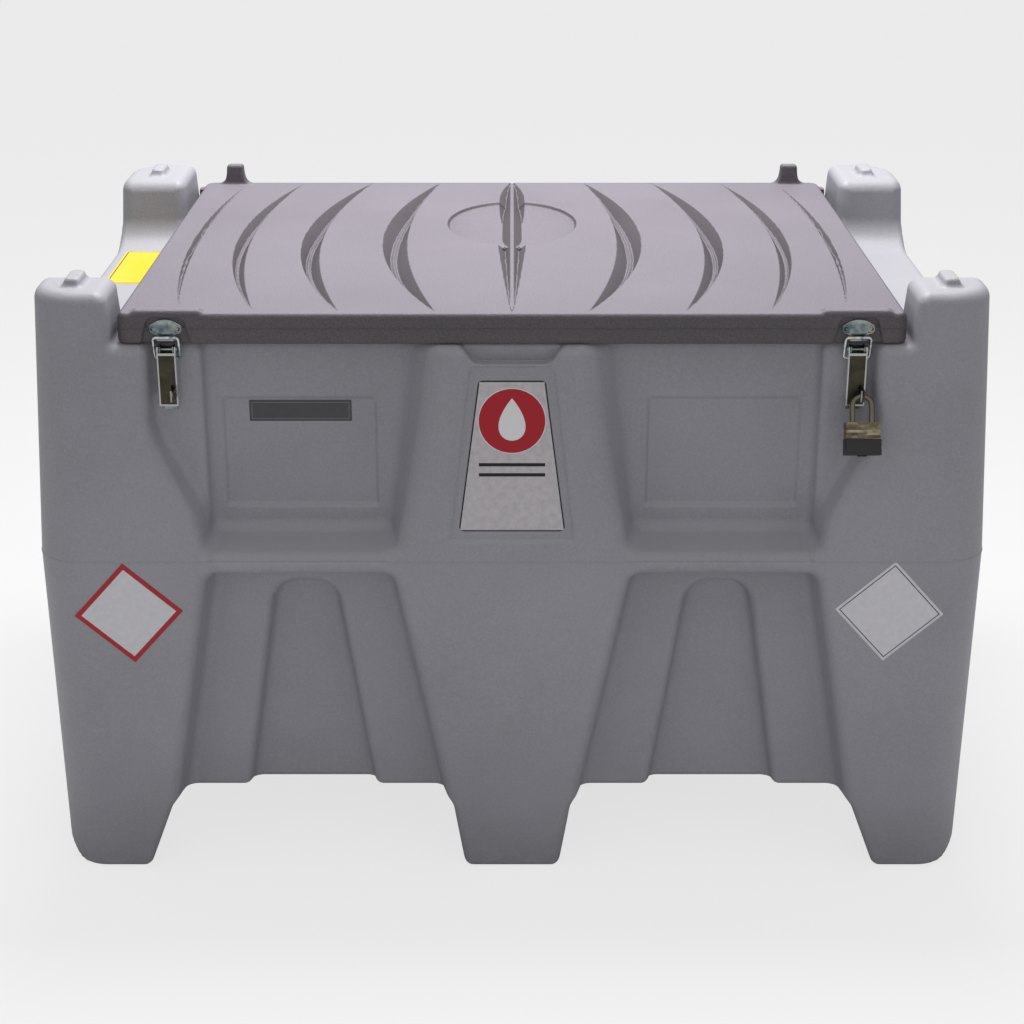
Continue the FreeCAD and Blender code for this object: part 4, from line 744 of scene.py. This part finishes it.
def strainer_finish():
    """Woven brass wire: a bump and tone of crossing waves."""
    made = Finish("strainer brass", srgb(176, 142, 78), 0.4, 0.9)
    wave = made.node("ShaderNodeTexWave", {"bands_direction": "Z"}, {"Vector": made.place, "Scale": 260.0})
    across = made.node("ShaderNodeTexWave", {"bands_direction": "X"}, {"Vector": made.place, "Scale": 260.0})
    weave = wave * across
    made.set("Base Color", made.ramp(weave, (0.2, ink(96, 72, 34)), (0.8, ink(200, 168, 100))))
    made.bump(weave, 0.8, 0.0008)
    return made.material


# Signs


def rounded_outline(corners, radius, steps=7):
    """Points round a convex polygon with each corner replaced by an arc: the arc's centre lies on the
    bisector at radius / sin(half angle), and the arc turns from one side's normal to the next side's."""
    corners = np.asarray(corners, float)
    before, after = np.roll(corners, 1, 0), np.roll(corners, -1, 0)
    into = (corners - before) / np.linalg.norm(corners - before, axis=1, keepdims=True)
    out = (after - corners) / np.linalg.norm(after - corners, axis=1, keepdims=True)
    first = np.stack([into[:, 1], -into[:, 0]], 1)
    last = np.stack([out[:, 1], -out[:, 0]], 1)
    middle = corners - radius * (first + last) / (1 + (first * last).sum(1, keepdims=True))
    t = np.linspace(0, 1, steps)[None, :, None]
    blend = first[:, None] * (1 - t) + last[:, None] * t
    blend /= np.linalg.norm(blend, axis=2, keepdims=True)
    return (middle[:, None] + radius * blend).reshape(-1, 2)


SIGN_THICK, SIGN_BACK, SIGN_BEVEL = 0.5, 0.6, 0.15


def sign_mesh(name, corners, radius, place):
    """A thin plate: the outline's rings at its back, at its rim and a little inside its face, closed by two
    centre points. place carries (u, v, height) arrays to points in millimetres."""
    rim = rounded_outline(corners, radius)
    centre = rim.mean(0)
    inner = centre + (rim - centre) * (1 - 0.25 / np.abs(rim - centre).max())
    levels = np.array([-SIGN_BACK, -SIGN_BACK, SIGN_THICK - SIGN_BEVEL, SIGN_THICK, SIGN_THICK])
    count = len(rim)
    u = np.concatenate([[centre[0]], rim[:, 0], rim[:, 0], inner[:, 0], [centre[0]]])
    v = np.concatenate([[centre[1]], rim[:, 1], rim[:, 1], inner[:, 1], [centre[1]]])
    w = np.repeat(levels, [1, count, count, count, 1])
    points = np.stack(place(u, v, w), 1)
    ring = np.arange(count)
    after = (ring + 1) % count
    faces = [[0, 1 + b, 1 + a] for a, b in zip(ring, after)]
    for level in (1, 1 + count):
        faces += [[level + a, level + b, level + count + b, level + count + a] for a, b in zip(ring, after)]
    top, last = 1 + 2 * count, 1 + 3 * count
    faces += [[top + a, top + b, last] for a, b in zip(ring, after)]
    return new_mesh(name, points * MM, faces, smooth=False)


def on_wall(u, v, w):
    """The long wall itself, which leans in below the parting line and above it."""
    return u, wall_lean(v) - HALF_WIDE - w, v


def on_plate_field(u, v, w):
    """The floor of the front plate's field."""
    return u, wall_lean(v) + PLATE_DEEP - HALF_WIDE - w, v


def on_panel(u, v, w):
    """The floor of an upper panel's shallow rectangle."""
    return u, FIELD_DEEP - HALF_WIDE - w, v


def on_saddle(u, v, w):
    """The left saddle's floor."""
    return u, v, SADDLE + w


def millimetres(made):
    """The three place sockets in millimetres."""
    return [part * 1000.0 for part in made.xyz()]


def printed(name, ground, roughness=0.38, metallic=0.0, tone=0.05):
    """A printed film: its ground colour with faint mottling, ready for ink."""
    made = Finish(name, ground, roughness, metallic)
    cloud = made.noise(120.0, 3.0, 0.6)
    film = made.ramp(cloud, (0.3, shade(ground, 1 - tone)), (0.7, shade(ground, 1 + tone)))
    made.bump(made.noise(260.0, 2.0, 0.5), 0.15, 0.0004)
    return made, film


def diamond_finish(name, centre, half, turn, bands):
    """Ink bands along the rim of a square that stands on its corner: each band lies between two distances
    from the rim, and the distance is (half - |u| - |v|) / root 2 in the square's own turned directions."""
    made, color = printed(name, picked("sign_white"))
    x, y, z = millimetres(made)
    c, s = math.cos(turn), math.sin(turn)
    u, v = x - centre[0], z - centre[1]
    across, up = abs(u * c + v * s), abs(v * c - u * s)
    within = (half - across - up) * math.sqrt(0.5)
    for near, far, band_color in bands:
        mask = within.above(near) * (1 - within.above(far))
        color = made.mix(mask, color, picked(band_color))
    made.set("Base Color", color)
    return made.material


PLATE_LOW, PLATE_HIGH, PLATE_FOOT, PLATE_HEAD = 482.0, 676.0, 66.5, 41.0
DISC_Z, DISC_ROUND = 625.0, 40.8
BARS = (569.0, 556.0)


def plate_finish():
    """The front plate: mottled foil in a black rim, with a red disc that holds a white drop, and two bars."""
    made, color = printed("front plate", picked("foil"), 0.36, 0.25, 0.10)
    x, y, z = millimetres(made)
    side = PLATE_FOOT - (PLATE_FOOT - PLATE_HEAD) * ((z - PLATE_LOW) / (PLATE_HIGH - PLATE_LOW)) - abs(x)
    within = (side * 0.99).least(PLATE_HIGH - z).least(z - PLATE_LOW)
    round_off = ((x * x) + (z - DISC_Z) ** 2.0) ** 0.5
    t = ((z - 600.0) / 54.0).most(0.0).least(1.0)
    drop = (t ** 0.5) * (1 - t) * 43.0
    color = made.mix(1 - round_off.above(DISC_ROUND + 1), color, picked("disc_rim"))
    color = made.mix(1 - round_off.above(DISC_ROUND), color, picked("sign_red"))
    color = made.mix(drop.above(abs(x)), color, picked("drop"))
    for level in BARS:
        bar = (1 - abs(x).above(PLATE_HEAD)) * (1 - abs(z - level).above(2.2))
        color = made.mix(bar, color, picked("sign_black"))
    color = made.mix(1 - within.above(1.7), color, picked("sign_black"))
    made.set("Base Color", color)
    return made.material


def frame_finish(name, ground, line_color, low, high, up, inset, line):
    """A rectangle of plain ground with one thin ink line inside its rim. up is 1 or 2: which place socket
    measures its height."""
    made, color = printed(name, picked(ground))
    place = millimetres(made)
    u, v = place[0], place[up]
    within = (u - low[0]).least(high[0] - u).least(v - low[1]).least(high[1] - v)
    mask = within.above(inset) * (1 - within.above(inset + line))
    made.set("Base Color", made.mix(mask, color, picked(line_color)))
    return made.material


# Tubes and stamped pieces


def tube_along(name, path, radius, sides=6):
    """A round profile carried along a path: each path point gets a ring in the plane of its normal and
    binormal, found from the direction to its neighbours and one fixed up direction."""
    ahead = np.roll(path, -1, 0) - np.roll(path, 1, 0)
    ahead /= np.linalg.norm(ahead, axis=1, keepdims=True)
    up = np.where(np.abs(ahead[:, 2:3]) > 0.9, [[0.0, 1.0, 0.0]], [[0.0, 0.0, 1.0]])
    side = np.cross(ahead, up)
    side /= np.linalg.norm(side, axis=1, keepdims=True)
    over = np.cross(side, ahead)
    turn = np.linspace(0, 2 * math.pi, sides, endpoint=False)
    ring = path[:, None] + radius * (np.cos(turn)[None, :, None] * side[:, None]
                                     + np.sin(turn)[None, :, None] * over[:, None])
    count = len(path)
    a, b = np.meshgrid(np.arange(count), np.arange(sides), indexing="ij")
    a2, b2 = (a + 1) % count, (b + 1) % sides
    faces = np.stack([a * sides + b, a2 * sides + b, a2 * sides + b2, a * sides + b2], -1)
    return new_mesh(name, ring.reshape(-1, 3) * MM, faces.reshape(-1, 4))


def ring_round(half_x, half_y, corner, level, count=900):
    """Points at equal turns of a rounded rectangle: a point on the corner arc or on a side."""
    t = np.linspace(0, 2 * math.pi, count, endpoint=False)
    spread = 1 / np.maximum(np.abs(np.cos(t)) / half_x, np.abs(np.sin(t)) / half_y)
    x, y = spread * np.cos(t), spread * np.sin(t)
    u, v = np.abs(x) - (half_x - corner), np.abs(y) - (half_y - corner)
    off = np.hypot(np.maximum(u, 1e-6), np.maximum(v, 1e-6))
    scale = np.where((u > 0) & (v > 0), corner / off, 1)
    x = np.sign(x) * (np.where((u > 0) & (v > 0), half_x - corner + u * scale, np.abs(x)))
    y = np.sign(y) * (np.where((u > 0) & (v > 0), half_y - corner + v * scale, np.abs(y)))
    return np.stack([x, y, np.full(count, float(level))], 1)


def settle_level(field, points, rounds=6):
    """Moves points onto the field's zero level without leaving their height."""
    for _ in range(rounds):
        slope = slope_of(field, points)
        slope[:, 2] = 0
        size = np.maximum((slope ** 2).sum(1), 0.04)
        points = points - slope * np.clip(field(*points.T) / size, -3, 3)[:, None]
    return points


def keeper_form(middle):
    """A keeper: a domed oval plate with two round ears, a rim round each ear's hole, and a rolled lip."""
    def form(x, y, z):
        across, out = np.abs(x - middle), -372 - y
        oval = (np.sqrt((across / 18.2) ** 2 + ((z - 738.5) / 11.2) ** 2) - 1) * 11
        eye = np.hypot(across - 15, z - KEEPER_Z)
        ear = eye - 5.6
        waist = np.maximum(across - 11.5, np.abs(z - 731) - 7)
        outline = round_or(round_or(oval, ear, 2.0), waist, 2.0)
        dome = 2.0 + 1.3 * np.clip(1 - ((across / 15) ** 2 + ((z - 739) / 10) ** 2), 0, 1)
        plate = round_and(np.maximum(outline, out - dome), -out, 0.5)
        rim = np.hypot(eye - 3.6, out - 2.3) - 1.1
        hole = np.maximum(eye - 2.3, 1.1 - out)
        lip = np.maximum(np.hypot(out - 5.2, z - 725.2) - 1.5, across - 10.5)
        shelf = np.maximum(np.maximum(np.abs(z - 724.6) - 0.9, across - 9.5), np.maximum(out - 6, -out))
        form = round_or(plate, rim, 0.4)
        form = np.maximum(form, -hole)
        return np.minimum(form, round_or(lip, shelf, 0.5))
    return form


def skirt_form(x, y, z):
    """The padlock's rubber skirt before it leans: a cup with round corners round the case's lower part."""
    walls = rounded_box(np.abs(x - LOCK_X) - 19.2, np.abs(y - LOCK_TOP[0]) - 7.2, 3)
    cup = round_and(round_and(walls, z - 604.5, 1.2), 584.8 - z, 3.0)
    rib = 0.5 * np.exp(-((z - 603.2) / 0.9) ** 2)
    return cup - rib


def leaning(points):
    """Points turned by the padlock's lean about the shackle's top, as the padlock hangs off the lever."""
    y, z = points[:, 1] - LOCK_TOP[0], points[:, 2] - LOCK_TOP[1]
    return np.stack([points[:, 0], LOCK_TOP[0] + y * math.cos(LOCK_LEAN) + z * math.sin(LOCK_LEAN),
                     LOCK_TOP[1] - y * math.sin(LOCK_LEAN) + z * math.cos(LOCK_LEAN)], 1)


# Settings a user would change


class TankSizes(bpy.types.PropertyGroup):
    """Sizes and counts that a user may change."""

    limit: bpy.props.IntProperty(name="Triangles", description="Most triangles on one moulding",
                                 default=190000)
    step: bpy.props.FloatProperty(name="Grid step", description="Spacing of the sampling grid, in mm",
                                  default=3.6)
    bead: bpy.props.FloatProperty(name="Bead", description="Radius of the moulding seams, in mm", default=0.7)
    floor_tone: bpy.props.FloatProperty(name="Floor", description="Floor's reflectance", default=0.88,
                                        subtype="FACTOR")


def color_property(name):
    """A colour that the user may change, with its default from the list of colours."""
    title = name.replace("_", " ").capitalize()
    return bpy.props.FloatVectorProperty(name=title, description=title + ", linear", subtype="COLOR", size=3,
                                         min=0.0, max=1.0, default=srgb(*COLORS[name]))


class TankColors(bpy.types.PropertyGroup):
    """One colour property for each entry of the list of colours."""

    __annotations__ = {name: color_property(name) for name in COLORS}


class TankMoulding(bpy.types.Operator):
    """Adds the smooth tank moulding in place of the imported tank, and its parting bead."""

    bl_idname = "tank.moulding"
    bl_label = "Tank moulding"

    def execute(self, context):
        sizes = context.scene.tank_sizes
        step = sizes.step * 1.0
        axes = (axis_of((-606, 606, step)),
                axis_of((-406, -322, step), (-322, 322, 3 * step), (322, 406, step)),
                axis_of((-6, 800, step)))
        piece = moulding("tank_moulding", tank_form, axes, sizes.limit)
        finish = tank_finish()
        give(piece, finish)
        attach(piece, "tank_side")
        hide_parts("tank")
        path = settle_level(tank_form, ring_round(HALF_LONG, HALF_WIDE, CORNER, PARTING))
        bead = tube_along("tank_parting_bead", path, sizes.bead)
        give(bead, finish)
        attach(bead, "tank_side")
        return {"FINISHED"}


class LidMoulding(bpy.types.Operator):
    """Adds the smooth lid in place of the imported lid, and the seam round its edge."""

    bl_idname = "tank.lid"
    bl_label = "Lid"

    def execute(self, context):
        sizes = context.scene.tank_sizes
        step = sizes.step * 0.62 * 1.0
        axes = (axis_of((-484, 484, step)), axis_of((-384, 378, step)), axis_of((716, 790, 2.4)))
        piece = moulding("lid_moulding", whole_lid, axes, sizes.limit)
        finish = lid_finish()
        give(piece, finish)
        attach(piece, "lid_side")
        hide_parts("lid")
        path = settle_level(lid_form, ring_round(LID_HALF, 376, LID_CORNER, 739) - [0, 3, 0])
        seam = tube_along("lid_seam", path, sizes.bead)
        give(seam, finish)
        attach(seam, "lid_side")
        return {"FINISHED"}


class Signs(bpy.types.Operator):
    """Adds the blank diamonds, the front plate, the strip and the yellow sign."""

    bl_idname = "tank.signs"
    bl_label = "Signs"

    def execute(self, context):
        for name, centre, half, turn, bands in (
                ("left_diamond", (-485.0, 372.0), 69.0, math.radians(3.0), ((-2.0, 6.2, "sign_red"),)),
                ("right_diamond", (477.5, 374.5), 69.0, math.radians(-3.0), ((3.4, 4.6, "sign_black"),))):
            c, s = math.cos(turn), math.sin(turn)
            corners = [(centre[0] + u * c - v * s, centre[1] + u * s + v * c)
                       for u, v in ((0, -half), (half, 0), (0, half), (-half, 0))]
            piece = sign_mesh(name, corners, 1.2, on_wall)
            give(piece, diamond_finish(name.replace("_", " "), centre, half, turn, bands))
            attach(piece, "tank_side")
        corners = [(-PLATE_FOOT, PLATE_LOW), (PLATE_FOOT, PLATE_LOW), (PLATE_HEAD, PLATE_HIGH),
                   (-PLATE_HEAD, PLATE_HIGH)]
        plate = sign_mesh("front_plate", corners, 6, on_plate_field)
        give(plate, plate_finish())
        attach(plate, "tank_side")
        for name, low, high, corner, place, up, inset, line in (
                ("panel_strip", (-327.6, 608.7), (-200.1, 636.3), 1.0, on_panel, 2, 3.0, 0.6),
                ("saddle_sign", (-573.0, 23.0), (-512.0, 205.0), 2.0, on_saddle, 1, 2.5, 1.6)):
            corners = [low, (high[0], low[1]), high, (low[0], high[1])]
            piece = sign_mesh(name, corners, corner, place)
            colors = ("strip", "strip_line") if name == "panel_strip" else ("sign_yellow", "sign_black")
            give(piece, frame_finish(name.replace("_", " "), *colors, low, high, up, inset, line))
            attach(piece, "tank_side")
        return {"FINISHED"}


class LatchFittings(bpy.types.Operator):
    """Adds the stamped keepers and gives the latches and hinges their plated finishes."""

    bl_idname = "tank.latches"
    bl_label = "Latches and hinges"

    def execute(self, context):
        zinc = zinc_finish()
        bright = zinc_finish("bright wire", "wire")
        for side, middle in (("left", -LATCH_X), ("right", LATCH_X)):
            form = keeper_form(middle)
            step = 0.6
            axes = (axis_of((middle - 22, middle + 22, step)), axis_of((-380, -371, step)),
                    axis_of((721, 751.5, step)))
            points, quads = net_over(form, axes)
            keeper = new_mesh(f"{side}_keeper_plate", settle(form, points, 2, 0.6) * MM, quads)
            give(keeper, zinc)
            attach(keeper, "lid_side")
            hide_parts(f"{side}_keeper")
            for node in ("latch_base", "latch_pin", "keeper_rivets", "hinge_lower_leaf", "hinge_upper_leaf",
                         "hinge_pin"):
                give(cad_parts[f"{side}_{node}"], zinc)
            give(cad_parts[f"{side}_latch_bail"], bright)
            give(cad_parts[f"{side}_latch_lever"], lever_finish(middle * MM))
        return {"FINISHED"}


class Padlock(bpy.types.Operator):
    """Adds the padlock's rubber skirt and gives the shackle and the case their finishes."""

    bl_idname = "tank.padlock"
    bl_label = "Padlock"

    def execute(self, context):
        give(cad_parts["padlock_shackle"], plain_finish("shackle_steel", 0.14, 1.0, 800.0, 0.1, 0.2))
        give(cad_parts["padlock_case"], plates_finish())
        step = 0.8
        axes = (axis_of((403, 451, step)), axis_of((-400, -376, step)), axis_of((582, 607, step)))
        points, quads = net_over(skirt_form, axes)
        skirt = new_mesh("lock_skirt", leaning(settle(skirt_form, points, 2, 0.6)) * MM, quads)
        rubber = plain_finish("skirt_rubber", 0.45, 0.0, 700.0, 0.5)
        give(skirt, rubber)
        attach(skirt, "lock_case")
        give(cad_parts["padlock_bumper"], rubber)
        return {"FINISHED"}


class PumpSet(bpy.types.Operator):
    """Gives the filler, the pump set, its pipes and the nozzle their finishes."""

    bl_idname = "tank.pump_set"
    bl_label = "Pump set"

    def execute(self, context):
        for finish, names in (
                (plain_finish("black_plastic", 0.44, 0.0, 650.0, 0.45, 0.2),
                 ("filler_neck", "vent_valve", "motor_cap", "switch_box", "suction_flange", "suction_tube",
                  "nozzle_guard", "nozzle_trigger", "nozzle_holster")),
                (plain_finish("cast_housing", 0.62, 0.35, 420.0, 0.9, 0.22), ("pump_housing", "pump_cover")),
                (plain_finish("motor_paint", 0.38, 0.0, 300.0, 0.5, 0.15, Coat_Weight=0.3), ("motor_case",)),
                (plain_finish("galvanised_pipe", 0.46, 0.85, 120.0, 0.5, 0.25),
                 ("suction_pipe", "outlet_elbow")),
                (plain_finish("cast_alloy", 0.4, 0.85, 380.0, 0.6, 0.16),
                 ("nozzle_body", "nozzle_spout", "hose_tail")),
                (plain_finish("filler_cap", 0.42, 0.0, 500.0, 0.4), ("filler_cap",)),
                (plain_finish("rocker", 0.35, 0.0, 500.0, 0.3, 0.1), ("pump_switch",)),
                (zinc_finish("plated foot"), ("pump_foot", "pump_bolts")),
                (strainer_finish(), ("foot_strainer",))):
            for name in names:
                give(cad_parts[name], finish)
        return {"FINISHED"}


SENSOR, FOCAL_PIXELS, FRAME_PIXELS, PITCH = 36, 2006, 1024, 21.5
FLOOR = 14


class TankStage(bpy.types.Operator):
    """Adds the camera, the floor and the lights."""

    bl_idname = "tank.stage"
    bl_label = "Stage"

    def execute(self, context):
        scene = context.scene
        camera = bpy.data.objects.new("camera", bpy.data.cameras.new("camera"))
        scene.collection.objects.link(camera)
        camera.data.sensor_width = SENSOR
        camera.data.lens = FOCAL_PIXELS / FRAME_PIXELS * SENSOR
        camera.location = (0, -2.715, 1.422)
        camera.rotation_euler = (math.radians(90 - PITCH), 0, 0)
        scene.camera = camera
        corners = [(-FLOOR, -FLOOR, 0), (FLOOR, -FLOOR, 0), (FLOOR, FLOOR, 0), (-FLOOR, FLOOR, 0)]
        floor = new_mesh("floor", corners, [[0, 1, 2, 3]])
        tone = scene.tank_sizes.floor_tone
        pale = Finish("floor", (tone, tone, tone), 0.8)
        path = pale.node("ShaderNodeLightPath", {}, {}, "Is Camera Ray")
        glow = pale.node("ShaderNodeEmission", {}, {"Color": (1, 1, 1, 1), "Strength": 1.0})
        blend = pale.tree.nodes.new("ShaderNodeMixShader")
        pale.tree.links.new((path * 0.72).out, blend.inputs[0])
        pale.tree.links.new(pale.shader.outputs[0], blend.inputs[1])
        pale.tree.links.new(glow.out, blend.inputs[2])
        pale.tree.links.new(blend.outputs[0], pale.tree.nodes["Material Output"].inputs[0])
        give(floor, pale.material)
        self.studio(scene)
        for name, place, turn, size, power in (
                ("overhead", (0.0, 0.35, 2.3), (math.radians(-6), 0, 0), (1.3, 0.7), 41),
                ("front fill", (0.0, -3.4, 1.5), (math.radians(72), 0, 0), (3.6, 1.6), 4)):
            lamp = bpy.data.objects.new(name, bpy.data.lights.new(name, "AREA"))
            lamp.data.shape = "RECTANGLE"
            lamp.data.size, lamp.data.size_y = size
            lamp.data.energy = power
            lamp.location = place
            lamp.rotation_euler = turn
            scene.collection.objects.link(lamp)
        scene.view_settings.view_transform = "Standard"
        return {"FINISHED"}

    def studio(self, scene):
        """A white room: full strength where the camera or a reflection sees it, and dimmer as a light."""
        world = bpy.data.worlds.new("studio")
        scene.world = world
        world.use_nodes = True
        tree = world.node_tree
        rays = tree.nodes.new("ShaderNodeLightPath")
        seen = Sock(tree, rays.outputs["Is Camera Ray"]).most(Sock(tree, rays.outputs["Is Transmission Ray"]))
        shine = Sock(tree, rays.outputs["Is Glossy Ray"]) * 0.2
        strength = (seen * 0.59 + 0.41 + shine).least(1.0)
        tree.nodes["Background"].inputs["Color"].default_value = (1, 1, 1, 1)
        plug(tree, tree.nodes["Background"].inputs["Strength"], strength)


class TankPanel(bpy.types.Panel):
    """Lists the sizes and the pieces."""

    bl_idname = "VIEW3D_PT_tank"
    bl_label = "Tank"
    bl_space_type = "VIEW_3D"
    bl_region_type = "UI"
    bl_category = "Tank"

    def draw(self, context):
        for name in ("limit", "step", "bead", "floor_tone"):
            self.layout.prop(context.scene.tank_sizes, name)
        for name in COLORS:
            self.layout.prop(context.scene.tank_colors, name)
        for operator in OPERATORS:
            self.layout.operator(operator.bl_idname)


OPERATORS = (TankStage, TankMoulding, LidMoulding, Signs, LatchFittings, Padlock, PumpSet)
CLASSES = (TankSizes, TankColors) + OPERATORS + (TankPanel,)


def register():
    for kind in CLASSES:
        bpy.utils.register_class(kind)
    bpy.types.Scene.tank_sizes = bpy.props.PointerProperty(type=TankSizes)
    bpy.types.Scene.tank_colors = bpy.props.PointerProperty(type=TankColors)


def unregister():
    del bpy.types.Scene.tank_colors
    del bpy.types.Scene.tank_sizes
    for kind in reversed(CLASSES):
        bpy.utils.unregister_class(kind)


def main():
    register()
    for operator in OPERATORS:
        group, name = operator.bl_idname.split(".")
        getattr(getattr(bpy.ops, group), name)()


if __name__ == "__main__":
    main()
